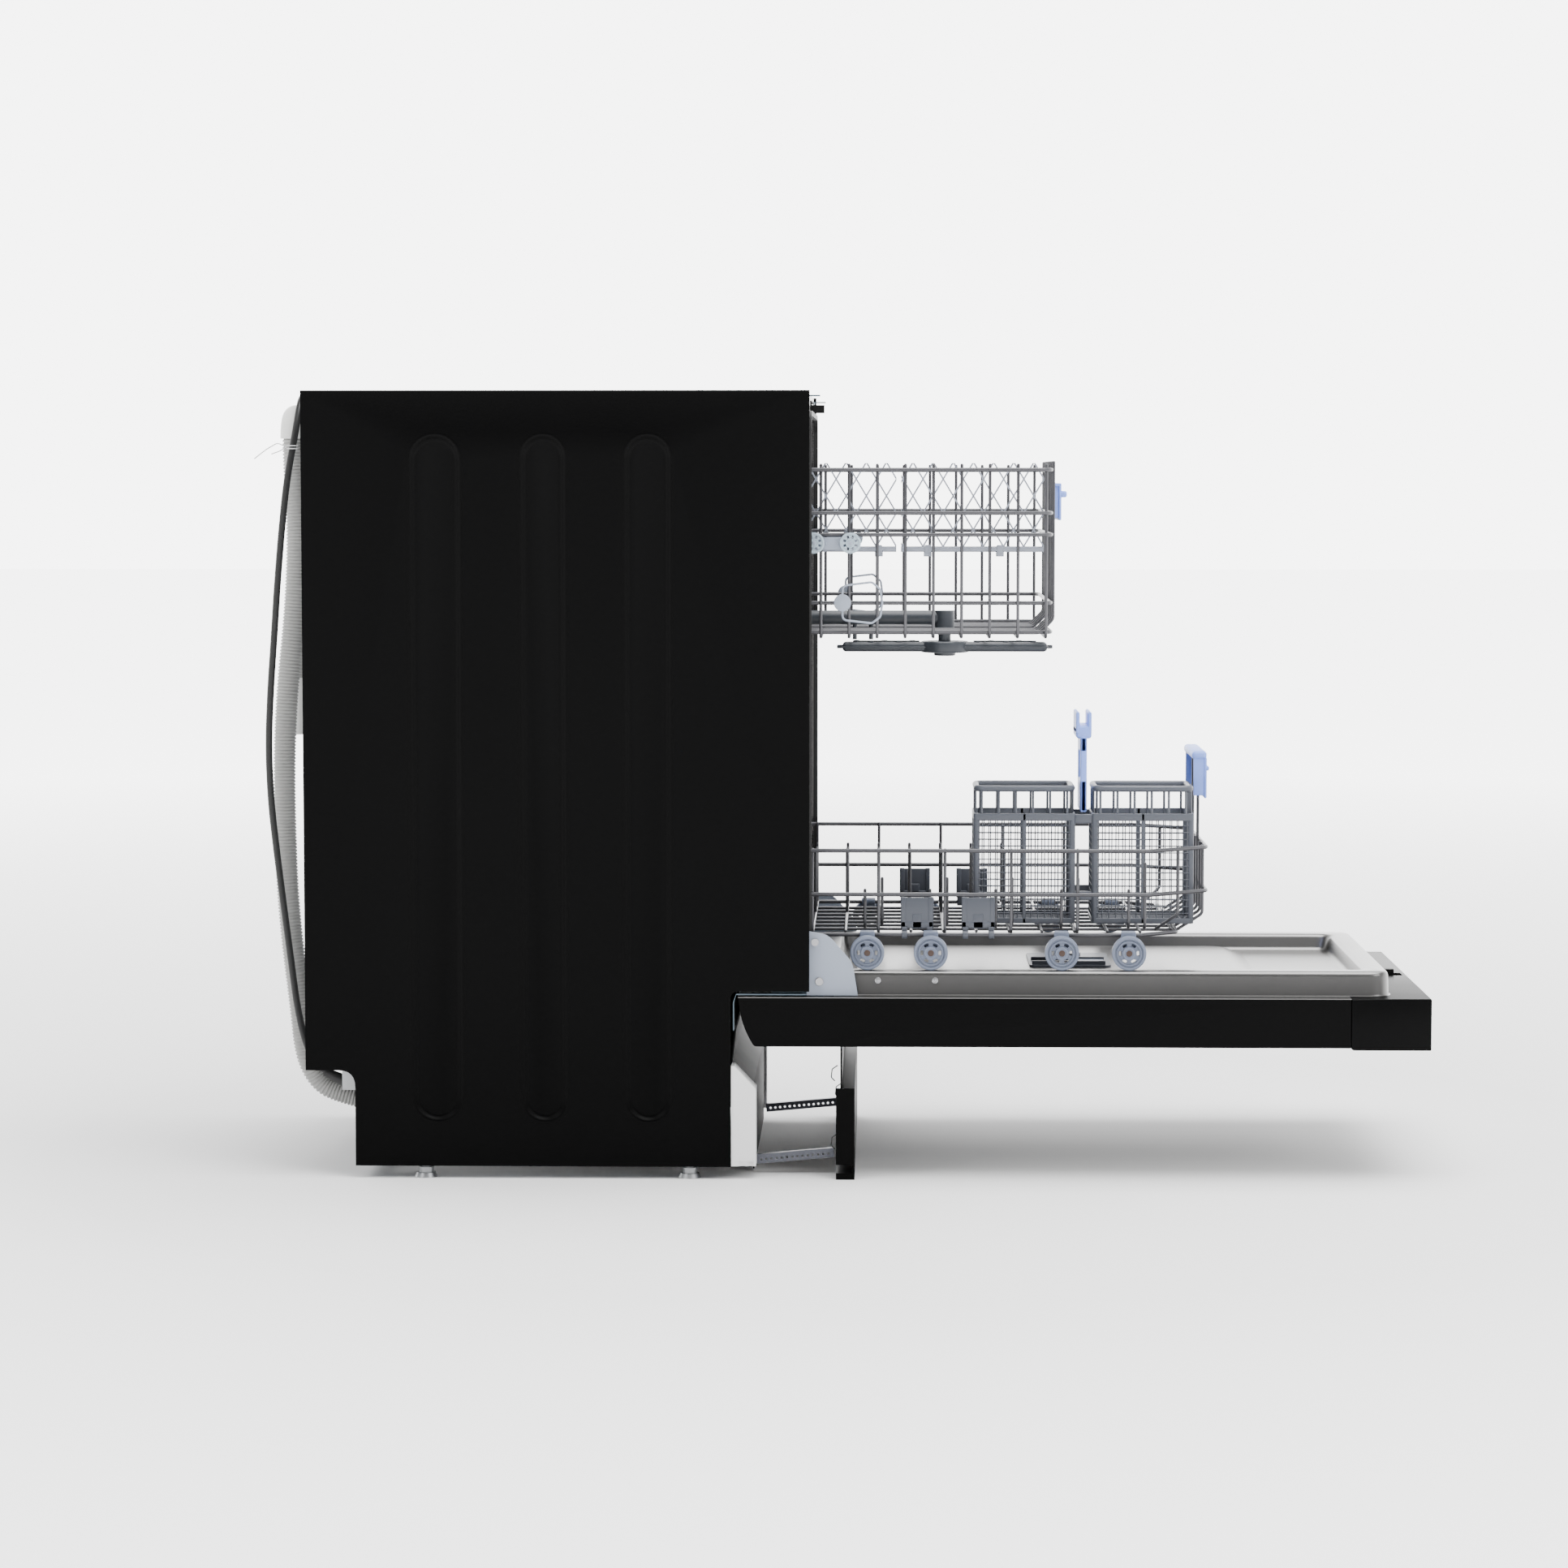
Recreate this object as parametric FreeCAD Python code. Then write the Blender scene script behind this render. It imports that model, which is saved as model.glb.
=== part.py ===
import FreeCAD, Part
import math
import os

V = FreeCAD.Vector

# Built-in dishwasher, 18 inch class, with its door open and both racks pulled out.
# Frame: millimetres, +Z up from the floor, +Y towards the back, door at the front (-Y),
# X = 0 on the centre plane. While it is drawn, Y = 0 is at the cabinet's front edge; save()
# moves every piece by FRAME_SHIFT, so that the origin is under the middle of the whole object.

# cabinet
WIDTH = 451.0
HEIGHT = 840.0
DEPTH = 538.6
HALF = WIDTH / 2
SHEET = 1.0
GAP = 0.3
PANEL_BOTTOM = 13.4
NOTCH_FRONT_Y = 84.0
NOTCH_FRONT_Z = 202.0
NOTCH_REAR_Y = 485.5
NOTCH_REAR_Z = 116.0
INNER = HALF - SHEET - GAP
COVER_BOTTOM = 150.0
BASE_RAIL_TOP = 56.0
BASE_RAIL_BOTTOM = 14.0
REAR_RAIL_TOP = 45.0

# tub
TUB_HALF = 205.0
TUB_FRONT = 5.0
TUB_BACK = 505.0
TUB_FLOOR = 215.0
TUB_ROOF = 815.0
TUB_CENTRE_Y = 255.0
TRACK_Z = 221.7

# door, lying open
DOOR_INNER_Z = 196.0
DOOR_OUTER_Z = 143.0
DOOR_END_Y = 76.0
DOOR_HEEL_Y = 59.0
CONSOLE_START_Y = -576.0
DOOR_TOP_Y = -661.0
FRAME_SHIFT = -(DEPTH + DOOR_TOP_Y) / 2
HINGE_Y = -11.5
HINGE_Z = 186.6
BRACKET_X = -212.5
LINER_HALF = 201.0
LINER_END_Y = -620.0

# toe kick
KICK_BACK_Y = -28.5
KICK_FRONT_Y = -48.4
KICK_FIN_Y = -33.5
KICK_STEP_Z = 98.4
KICK_TOP_Z = 141.2
STRAP_X = 186.0

# racks
RACK_WIRE = 3.4
RACK_RAIL = 4.4
WELD = 0.4
UPPER_X = 180.4
UPPER_FRONT = -259.0
UPPER_BACK = 211.0
UPPER_RAILS = (756.5, 710.4, 687.4, 614.5, 583.3)
UPPER_WIRE_PITCH = 30.02
UPPER_FIRST_WIRE = -251.6
UPPER_FLOOR_Z = 577.8
LOWER_X = 175.0
LOWER_FRONT = -429.0
LOWER_BACK = 60.0
LOWER_RAILS = (348.5, 301.3)
LOWER_FLOOR_Z = 258.0
LOWER_CORNER_Y = -361.0
LOWER_FRONT_HALF = 122.0
LOWER_WIRE_PITCH = 71.2
LOWER_FIRST_WIRE = -2.4
HANDLE_SEAT_Z = 440.0

# wheels
UPPER_WHEEL_R = 11.2
UPPER_WHEEL_Z = 678.6
UPPER_WHEEL_YS = {"upper_wheels_front": -43.0, "upper_wheels_middle": -4.2, "upper_wheels_rear": 150.0}
LOWER_WHEEL_R = 18.3
LOWER_WHEEL_Z = 240.3
LOWER_WHEEL_YS = {
    "lower_wheels_1": -341.7,
    "lower_wheels_2": -269.9,
    "lower_wheels_3": -129.6,
    "lower_wheels_4": -61.5,
}

# hose and cord
HOSE_D = 24.0
CORD_D = 7.5
TERMINAL_BACK = 502.0
GUIDE_Y = 557.0
GUIDE_TOP = 812.0
LOOP_X = (-145.0, -97.0)
HOSE_ROUTE = [
    (-150, 487, 76), (-150, 509, 81), (-150, 533, 92), (-150, 549, 122), (-150, 554, 176),
    (-150, 561, 233), (-150, 566.5, 293), (-150, 568.5, 353), (-150, 569.5, 413), (-149, 568.5, 473),
    (-148, 564.5, 533), (-147, 558, 593), (-146, 554, 653), (-145, 553.5, 708),
    (LOOP_X[0], GUIDE_Y, 762), (LOOP_X[0], GUIDE_Y, GUIDE_TOP), (LOOP_X[1], GUIDE_Y, GUIDE_TOP),
    (LOOP_X[1], GUIDE_Y, 762), (-95, 554.5, 704), (-92, 558, 644), (-86, 562, 584), (-86, 562, 530),
]
CORD_ROUTE = [
    (-185, 505, 100.2), (-184.3, 528, 111), (-182.5, 543, 134), (-181, 553, 176), (-180, 559.5, 228),
    (-180, 567, 288), (-180, 574, 346), (-180, 580, 402), (-180, 582, 460), (-180, 579.5, 518),
    (-180, 575, 576), (-180, 571, 634), (-179, 566, 692), (-177, 560, 748), (-172, 551, 798),
    (-149, 548, 836), (-93, 548, 836), (-52, 551, 800), (-36, 552, 746), (-28, 552, 688), (-29, 552, 628),
    (-28, 552, 568), (-28.5, 552, 508), (-27.5, 552, 448), (-29, 552, 388), (-28, 552, 328), (-28, 552, 270),
]

# levelling feet, buttons, lattice shelves and cutlery basket (x0, x1, y0, y1, z0, z1)
FOOT_X = 212.0
FOOT_YS = (128.0, 411.0)
FOOT_DISC_R = 12.0
BUTTON_XS = (-120.0, -85.0)
BUTTON_Y = -630.0
BUTTON_R = 7.0
SHELF_X = -171.0
SHELF_TIP_Z = 764.5
SHELF_BAR_Z = 668.8
DIAMOND_WIDTH = 21.5
DIAMOND_HEIGHT = 36.0
STRIP = 1.7
BASKET = (-115.0, -32.0, -416.0, -176.5, 264.0, 384.0)


def box(x0, x1, y0, y1, z0, z1):
    low = V(min(x0, x1), min(y0, y1), min(z0, z1))
    size = V(abs(x1 - x0), abs(y1 - y0), abs(z1 - z0))
    return Part.makeBox(size.x, size.y, size.z, low)


def cylinder(start, direction, radius, length):
    return Part.makeCylinder(radius, length, V(*start), V(*direction))


def rod(start, end, diameter):
    run = V(*end) - V(*start)
    return Part.makeCylinder(diameter / 2, run.Length, V(*start), run)


def tube(start, direction, outer, inner, length):
    return cylinder(start, direction, outer, length).cut(cylinder(start, direction, inner, length))


def mirrored(shape):
    return shape.mirror(V(0, 0, 0), V(1, 0, 0))


def pair(shape):
    return [shape, mirrored(shape)]


def fuse(shapes):
    return shapes[0].multiFuse(shapes[1:]).removeSplitter()


def rounded_edges(points, radii, closed):
    """Straight runs through the points, joined by tangent arcs of the given radii."""
    count = len(points)
    starts, ends = list(points), list(points)
    arcs = {}
    for i in range(count):
        radius = radii[i]
        if radius <= 0:
            continue
        before, here, after = points[i - 1], points[i], points[(i + 1) % count]
        back = (before - here).normalize()
        ahead = (after - here).normalize()
        turn = math.pi - back.getAngle(ahead)
        reach = radius * math.tan(turn / 2)
        middle = (back + ahead).normalize()
        centre = here + middle * (radius / math.cos(turn / 2))
        starts[i] = here + back * reach
        ends[i] = here + ahead * reach
        arcs[i] = Part.Arc(starts[i], centre - middle * radius, ends[i]).toShape()
    edges = []
    for i in range(count):
        if i in arcs:
            edges.append(arcs[i])
        after = (i + 1) % count
        if (closed or i < count - 1) and (starts[after] - ends[i]).Length > 1e-6:
            edges.append(Part.LineSegment(ends[i], starts[after]).toShape())
    return edges


def profile_yz(points, x0, x1, radii=None):
    """A plate cut to an outline in the YZ plane, from x0 to x1."""
    corners = [V(x0, y, z) for y, z in points]
    edges = rounded_edges(corners, radii or [0] * len(corners), True)
    return Part.Face(Part.Wire(edges)).extrude(V(x1 - x0, 0, 0))


def profile_xy(points, z0, z1, radii=None):
    corners = [V(x, y, z0) for x, y in points]
    edges = rounded_edges(corners, radii or [0] * len(corners), True)
    return Part.Face(Part.Wire(edges)).extrude(V(0, 0, z1 - z0))


def rounded_box(x0, x1, y0, y1, z0, z1, radius):
    points = [(x0, y0), (x1, y0), (x1, y1), (x0, y1)]
    return profile_xy(points, z0, z1, [radius] * 4)


def save(name, shapes):
    if not isinstance(shapes, list):
        shapes = [shapes]
    solids = [solid for shape in shapes for solid in shape.Solids]
    result = Part.makeCompound(solids) if len(solids) > 1 else solids[0]
    result = result.translated(V(0, FRAME_SHIFT, 0))
    result.exportStep("parts/" + name + ".step")
    print(name, len(solids), "solids, volume", round(result.Volume), "valid", result.isValid())


# ---------------------------------------------------------------- cabinet

def side_panel():
    outline = [
        (0, HEIGHT), (0, NOTCH_FRONT_Z), (NOTCH_FRONT_Y, NOTCH_FRONT_Z),
        (NOTCH_FRONT_Y, PANEL_BOTTOM), (NOTCH_REAR_Y, PANEL_BOTTOM),
        (NOTCH_REAR_Y, NOTCH_REAR_Z), (DEPTH, NOTCH_REAR_Z), (DEPTH, HEIGHT),
    ]
    radii = [0, 0, 9, 0, 0, 18, 0, 0]
    return profile_yz(outline, -HALF, -HALF + SHEET, radii)


def rear_and_top_cover():
    back = box(-INNER, INNER, DEPTH - 2, DEPTH - 1, COVER_BOTTOM, HEIGHT - 1)
    top = box(-INNER, INNER, 8, DEPTH - 2, HEIGHT - 2, HEIGHT - 1)
    return back.fuse(top).removeSplitter()


def tub():
    """Stainless wrap, back wall, floor with raised wheel tracks, and front flange."""
    def arch(half, roof, radius, y0, y1):
        corners = [V(-half, y0, TUB_FLOOR), V(-half, y0, roof), V(half, y0, roof), V(half, y0, TUB_FLOOR)]
        edges = rounded_edges(corners, [0, radius, radius, 0], True)
        return Part.Face(Part.Wire(edges)).extrude(V(0, y1 - y0, 0))
    wrap = arch(TUB_HALF, TUB_ROOF, 24, TUB_FRONT, TUB_BACK - 1)
    wrap = wrap.cut(arch(TUB_HALF - SHEET, TUB_ROOF - SHEET, 23, TUB_FRONT, TUB_BACK - 1))
    wrap = wrap.cut(box(-TUB_HALF + SHEET, TUB_HALF - SHEET, 0, TUB_BACK, TUB_FLOOR - 1, TUB_FLOOR + 1))
    back = arch(TUB_HALF, TUB_ROOF, 24, TUB_BACK - 1, TUB_BACK)
    floor = box(-TUB_HALF, TUB_HALF, TUB_FRONT, TUB_BACK, TUB_FLOOR - 2, TUB_FLOOR)
    floor = floor.cut(cylinder((0, TUB_CENTRE_Y, 200), (0, 0, 1), 60, 30))
    track = box(-TUB_HALF + SHEET, -178, TUB_FRONT, TUB_BACK - 1, TUB_FLOOR, TRACK_Z)
    track = track.cut(box(-TUB_HALF + SHEET, -179, 0, TUB_BACK, TUB_FLOOR, TRACK_Z - SHEET))
    side_flange = box(-INNER, -TUB_HALF, 3, 4, NOTCH_FRONT_Z + 1, TUB_ROOF)
    top_flange = box(-INNER, INNER, 3, 4, TUB_ROOF, HEIGHT - 1)
    return [wrap, back, floor, *pair(track), *pair(side_flange), top_flange]


def tub_seal():
    """Rubber gasket up both sides and across the top of the opening."""
    corners = [V(-208, -2, 232), V(-208, -2, 819), V(208, -2, 819), V(208, -2, 232)]
    inner = [V(-203, -2, 232), V(-203, -2, 814), V(203, -2, 814), V(203, -2, 232)]
    outer_face = Part.Face(Part.Wire(rounded_edges(corners, [0, 26, 26, 0], True)))
    inner_face = Part.Face(Part.Wire(rounded_edges(inner, [0, 21, 21, 0], True)))
    return outer_face.cut(inner_face).extrude(V(0, 5, 0))


def base_frame():
    """Pressed side rails and cross rails under the tub, and the posts that carry it."""
    web = box(-INNER, -INNER + 1.5, 86, 484, BASE_RAIL_BOTTOM, BASE_RAIL_TOP)
    flange = box(-INNER + 1.5, -200, 86, 484, BASE_RAIL_BOTTOM, BASE_RAIL_BOTTOM + 1.5)
    feet_holes = [cylinder((-FOOT_X, y, 10), (0, 0, 1), 5.4, 10) for y in FOOT_YS]
    side = web.fuse(flange)
    for hole in feet_holes:
        side = side.cut(hole)
    rear = box(-199.7, 199.7, 482.5, 484, BASE_RAIL_BOTTOM, REAR_RAIL_TOP)
    rear = rear.fuse(box(-199.7, 199.7, 462, 482.5, BASE_RAIL_BOTTOM, BASE_RAIL_BOTTOM + 1.5))
    strip = box(-INNER, BRACKET_X, 3.3, 78, 198.2, 199.4)
    strip_end = profile_yz([(78, 199.4), (78, 198.2), (80.2, 190), (80.2, 160), (81.4, 160), (81.4, 190)],
                           -INNER, -206)
    post = box(-INNER + 1.5, -206, 110, 112, BASE_RAIL_TOP, 212)
    rear_post = box(-INNER + 1.5, -206, 470, 472, BASE_RAIL_TOP, 212)
    parts = []
    for solid in (side, strip, strip_end, post, rear_post):
        parts += pair(solid)
    return [*parts, rear]


def base_foam():
    outline = [(83.5, 14), (83.5, 121.5), (80, 121.5), (57, 97), (57, 14)]
    block = profile_yz(outline, -INNER, -192)
    for y0 in (59.5, 68.5):
        block = block.cut(box(-INNER - 1, -INNER + 2, y0, y0 + 6.5, 14, 20))
    return pair(block)


def access_panel():
    """Black plate between the foam blocks, leaning back at its top, with two strap slots."""
    outline = [
        (60, 32), (60, 99), (83, 122), (79, 157), (80.4, 157.4), (84.6, 121.6), (61.4, 98.4), (61.4, 32),
    ]
    plate = profile_yz(outline, -191.5, 191.5)
    apron = box(-178, 178, 60, 61.4, 4, 32)
    return plate.fuse(apron).removeSplitter()


def mounting_brackets():
    """Two tabs that screw up into the underside of the worktop."""
    plate = box(-216, -194, -11, 3, 834, 835.2)
    plate = plate.cut(cylinder((-205, -5, 830), (0, 0, 1), 2.4, 10))
    lip = box(-216, -194, 1.8, 3, 823, 834)
    return pair(plate.fuse(lip).removeSplitter())


def door_strike():
    plate = box(-17, 17, 1.5, 3, 819.3, 833)
    hook = box(-9, -7, -12.5, 1.5, 819.3, 828)
    bar = cylinder((-7, -9.5, 823), (1, 0, 0), 2.5, 14)
    return fuse([plate, hook, box(7, 9, -12.5, 1.5, 819.3, 828), bar])


def splash_guards():
    corners = [(3, 196.8), (-51.6, 196.8), (-46, 232), (-20, 262), (3, 266)]
    guard = profile_yz(corners, -215, -213.5, [0, 0, 28, 24, 0])
    return pair(guard)


def rack_rails():
    """Channels on the tub's side walls that hold the upper rack's wheels."""
    top = UPPER_WHEEL_Z + UPPER_WHEEL_R + GAP
    bottom = UPPER_WHEEL_Z - UPPER_WHEEL_R - GAP
    web = box(-TUB_HALF + SHEET, -202.4, 14, 470, bottom - 1.4, top + 1.4)
    upper = box(-202.4, -189, 14, 470, top, top + 1.4)
    lower = box(-202.4, -189, 14, 470, bottom - 1.4, bottom)
    stop = box(-202.4, -189, 466, 470, bottom, top)
    return pair(fuse([web, upper, lower, stop]))


def hinge_brackets():
    plate = profile_yz([(-20, 180), (-20, 193), (-6, 201), (40, 201), (40, 198), (0, 196.4), (-3, 180)], BRACKET_X, -210)
    tab = box(BRACKET_X, -210, 6, 40, 201, 212)
    pin = cylinder((-209, HINGE_Y, HINGE_Z), (-1, 0, 0), 4, 10)
    return pair(fuse([plate, tab, pin]))


def sump():
    bowl = Part.makeCone(46, 59.5, 55, V(0, TUB_CENTRE_Y, 158))
    hollow = Part.makeCone(43.5, 57, 55, V(0, TUB_CENTRE_Y, 161))
    spout = cylinder((0, TUB_CENTRE_Y + 45, 175), (0, 1, 0), 14, 40)
    rim = tube((0, TUB_CENTRE_Y, 208), (0, 0, 1), 66, 57.5, 5)
    body = fuse([bowl.cut(hollow), rim, spout.cut(cylinder((0, TUB_CENTRE_Y, 175), (0, 1, 0), 11, 100))])
    return body.cut(cylinder((0, TUB_CENTRE_Y + 10, 175), (0, 1, 0), 11, 40))


def wash_pump():
    motor = cylinder((70, 300, 110), (0, 1, 0), 40, 90)
    volute = cylinder((70, 270, 110), (0, 1, 0), 46, 30)
    outlet = cylinder((70, 285, 150), (0, 0, 1), 13, 50)
    return fuse([motor, volute, outlet])


def drain_pump():
    motor = cylinder((-70, 300, 100), (0, 1, 0), 24, 55)
    head = cylinder((-70, 272, 100), (0, 1, 0), 30, 28)
    outlet = cylinder((-92, 286, 100), (-1, 0, 0), 9, 26)
    return fuse([motor, head, outlet])


def inlet_valve():
    body = box(100, 140, 440, 478, 45, 85)
    thread = cylinder((120, 478, 66), (0, 1, 0), 13.2, 24)
    coil = cylinder((120, 459, 85), (0, 0, 1), 14, 30)
    solid = fuse([body, thread, coil])
    return solid.cut(cylinder((120, 484, 66), (0, 1, 0), 8, 30))


def terminal_box():
    """Mains connection box at the back of the base, with the drain hose's clamp under it."""
    shell = box(-205, -165, 486, TERMINAL_BACK, 92, 112)
    shell = shell.cut(box(-203, -167, 484, TERMINAL_BACK - 2, 94, 110))
    return shell


def door_springs():
    return pair(rod((-216, 130, 92), (-216, 300, 120), 11))


def cabinet_screws():
    screws = []
    for y, z in ((-10.5, 211.8), (-6, 254)):
        screws += pair(cylinder((-215, y, z), (-1, 0, 0), 4, 2.2))
    for x in (-8, 8):
        screws.append(cylinder((x, 1.5, 831.0), (0, -1, 0), 1.8, 1.6))
    return screws


# ---------------------------------------------------------------- feet and toe kick

def feet():
    shapes = []
    for y in FOOT_YS:
        disc = Part.makeCone(FOOT_DISC_R, FOOT_DISC_R - 2, 5, V(-FOOT_X, y, 0))
        nut = cylinder((-FOOT_X, y, 5), (0, 0, 1), 8, 6)
        stem = cylinder((-FOOT_X, y, 11), (0, 0, 1), 5, 34)
        shapes += pair(fuse([disc, nut, stem]))
    return shapes


def toe_kick_lower():
    front = box(-HALF, HALF, KICK_FRONT_Y, KICK_FRONT_Y + 1.5, 16, KICK_STEP_Z)
    top = box(-HALF, HALF, KICK_FRONT_Y, KICK_FIN_Y - 1.8, KICK_STEP_Z - 1.5, KICK_STEP_Z)
    bottom = box(-HALF, HALF, KICK_FRONT_Y, KICK_BACK_Y, 16, 17.5)
    ends = [box(-HALF, -HALF + 1.5, KICK_FRONT_Y, KICK_BACK_Y, 16, KICK_STEP_Z)]
    ends.append(mirrored(ends[0]))
    strip = box(-HALF, HALF, KICK_FRONT_Y, KICK_FRONT_Y + 2.5, 0, 15.8)
    base = box(-HALF, HALF, KICK_FRONT_Y, KICK_BACK_Y, 0, 7).fuse(strip)
    return [fuse([front, top, bottom, *ends]), base]


def toe_kick_upper():
    tail = box(-HALF + 2, HALF - 2, KICK_FIN_Y, KICK_FRONT_Y + 1.7, 60, KICK_STEP_Z - 1.7)
    fin = box(-HALF + 2, HALF - 2, KICK_FIN_Y, KICK_FIN_Y - 1.5, KICK_STEP_Z - 1.7, KICK_TOP_Z)
    return tail.fuse(fin)


def toe_kick_straps():
    """Perforated brackets that hang the toe kick on the base and set its depth."""
    length = 84.0
    start = V(-STRAP_X, 57, 10.5)
    plate = box(-STRAP_X, -STRAP_X + 1.2, 57 - length, 57, 10.5, 19.5)
    for i in range(14):
        y = 52 - i * 5.6
        plate = plate.cut(cylinder((-STRAP_X - 1, y, 14.8), (1, 0, 0), 1.3, 4))
    flange = box(-STRAP_X, -STRAP_X + 6, 57 - length, 57, 19.5, 20.7)
    strap = plate.fuse(flange)
    strap.rotate(start, V(1, 0, 0), -5.2)
    return pair(strap)


# ---------------------------------------------------------------- door

def door_panel():
    """Outer steel skin of the door with its folded sides and rounded heel."""
    outline = [
        (DOOR_END_Y, DOOR_INNER_Z - 1.2), (72, 166), (DOOR_HEEL_Y, DOOR_OUTER_Z),
        (CONSOLE_START_Y + 0.2, DOOR_OUTER_Z), (CONSOLE_START_Y + 0.2, DOOR_INNER_Z - 1.2),
    ]
    radii = [0, 60, 3, 0, 0]
    solid = profile_yz(outline, -HALF, HALF, radii)
    inner = [
        (DOOR_END_Y - 1.2, DOOR_INNER_Z), (70.8, 166.6), (DOOR_HEEL_Y - 1, DOOR_OUTER_Z + 1),
        (CONSOLE_START_Y - 1, DOOR_OUTER_Z + 1), (CONSOLE_START_Y - 1, DOOR_INNER_Z),
    ]
    return solid.cut(profile_yz(inner, -HALF + SHEET, HALF - SHEET, [0, 60, 2, 0, 0]))


def door_liner():
    """Pressed steel inner wall: flat flange, raised rim, recess and a deeper pan at the far end."""
    low = DOOR_INNER_Z - 1
    flange = box(-HALF, HALF, HINGE_Y + 60, CONSOLE_START_Y, low, DOOR_INNER_Z)
    tail = box(-HALF, HALF, HINGE_Y + 60, DOOR_END_Y, low, DOOR_INNER_Z)
    tongue = box(-LINER_HALF + 10, LINER_HALF - 10, CONSOLE_START_Y, LINER_END_Y + 0.5, low, DOOR_INNER_Z)
    slot = box(-217, -207.6, -26, DOOR_END_Y + 1, low - 1, DOOR_INNER_Z + 1)
    rim = rounded_box(-LINER_HALF, LINER_HALF, LINER_END_Y, -6, low, TRACK_Z, 22)
    under = rounded_box(-LINER_HALF + 1, LINER_HALF - 1, LINER_END_Y + 1, -7, low - 1, TRACK_Z - 1, 21)
    recess = rounded_box(-174, 174, -594, -34, 203, TRACK_Z + 1, 16)
    pan = rounded_box(-175, 175, -595, -33, 202, TRACK_Z, 17)
    pan = pan.cut(recess)
    shell = rim.cut(under).cut(recess)
    flat = fuse([flange, tail, tongue]).cut(under)
    solid = fuse([flat, shell, pan])
    return solid.cut(slot).cut(mirrored(slot))


def console():
    """Control fascia along the door's top edge, hollow behind."""
    start = CONSOLE_START_Y
    outline = [(start, 195), (start, 142.5), (start - 2, 140.7), (DOOR_TOP_Y, 140.7), (DOOR_TOP_Y, 196)]
    outline += [(LINER_END_Y - 0.3, 196), (LINER_END_Y - 0.3, 195)]
    shell = profile_yz(outline, -HALF, HALF)
    inner = [(start + 1, 193), (start + 1, 145), (DOOR_TOP_Y + 2.5, 143.2), (DOOR_TOP_Y + 2.5, 193)]
    shell = shell.cut(profile_yz(inner, -HALF + 2.5, HALF - 2.5))
    for x in BUTTON_XS:
        shell = shell.cut(cylinder((x, BUTTON_Y, 130), (0, 0, 1), BUTTON_R + GAP, 15))
    slot = box(-12, 12, -656, -631, 190, 198)
    return shell.cut(slot)


def button(x):
    return cylinder((x, BUTTON_Y, 139.5), (0, 0, 1), BUTTON_R, 5.5)


def door_latch():
    arm = box(-5, 5, -647, -635, 178, 199)
    hook = box(-5, 5, -647, -632.5, 199, 202)
    pivot = cylinder((-9, -641, 182), (1, 0, 0), 3, 18)
    return fuse([arm, hook, pivot])


def hinge_arms():
    plate = box(-218.5, -216, -180, 0, 168, 193)
    plate = plate.cut(cylinder((-220, HINGE_Y, HINGE_Z), (1, 0, 0), 4.05, 10))
    foot = box(-222, -218.5, -180, -40, 168, 170)
    return pair(plate.fuse(foot).removeSplitter())


def dispenser():
    body = rounded_box(-62, 62, -330, -240, 203, 212, 8)
    cup = rounded_box(-52, -12, -322, -262, 205, 213, 4)
    track = box(-54, -10, -324, -243, 212, 216).cut(box(-52.4, -11.6, -330, -240, 212, 214.4))
    track = track.cut(box(-49, -15, -330, -240, 214, 217))
    cap = cylinder((32, -285, 212), (0, 0, 1), 15, 4)
    return fuse([body.cut(cup), track, cap])


def dispenser_lid():
    """Sliding door over the detergent cup."""
    return box(-52, -12, -323, -284, 212.3, 214).fuse(box(-40, -24, -288, -284.5, 214, 217))


# ---------------------------------------------------------------- upper rack

def upper_wires():
    count = int((UPPER_BACK - UPPER_FIRST_WIRE) / UPPER_WIRE_PITCH) + 1
    return [UPPER_FIRST_WIRE + i * UPPER_WIRE_PITCH for i in range(count)]


def upper_side():
    offset = (RACK_WIRE + RACK_RAIL) / 2 - WELD
    shapes = []
    for i, z in enumerate(UPPER_RAILS):
        x = -UPPER_X - offset if i < 3 else -UPPER_X + offset
        shapes.append(rod((x, UPPER_FRONT + 4, z), (x, UPPER_BACK - 4, z), RACK_RAIL))
    for y in upper_wires():
        shapes.append(rod((-UPPER_X, y, UPPER_FLOOR_Z - RACK_WIRE / 2), (-UPPER_X, y, 762), RACK_WIRE))
    return fuse(shapes)


def upper_floor():
    """Cross wires from side to side on three long bearers."""
    half = UPPER_X - RACK_WIRE / 2
    shapes = []
    for y in upper_wires():
        shapes.append(rod((-half, y, UPPER_FLOOR_Z), (half, y, UPPER_FLOOR_Z), RACK_WIRE))
    z = UPPER_FLOOR_Z + (RACK_WIRE + RACK_RAIL) / 2 - WELD
    for x in (-150, -90, -36, 36, 90, 150):
        shapes.append(rod((x, UPPER_FRONT + 4, z), (x, UPPER_BACK - 4, z), RACK_RAIL))
    return fuse(shapes)


def upper_end(y, outward):
    """Front or rear grid, between the side grids."""
    half = UPPER_X + RACK_WIRE / 2 + RACK_RAIL
    shapes = []
    offset = ((RACK_WIRE + RACK_RAIL) / 2 - WELD) * outward
    for z in UPPER_RAILS:
        shapes.append(rod((-half, y, z), (half, y, z), RACK_RAIL))
    for i in range(9):
        x = -144 + 36 * i
        shapes.append(rod((x, y + offset, UPPER_RAILS[4]), (x, y + offset, 762), RACK_WIRE))
    return fuse(shapes)


def upper_rack():
    front = upper_end(UPPER_FRONT + 4 - RACK_RAIL / 2, -1)
    rear = upper_end(UPPER_BACK - 4 + RACK_RAIL / 2, 1)
    return [*pair(upper_side()), upper_floor(), front, rear]


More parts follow.
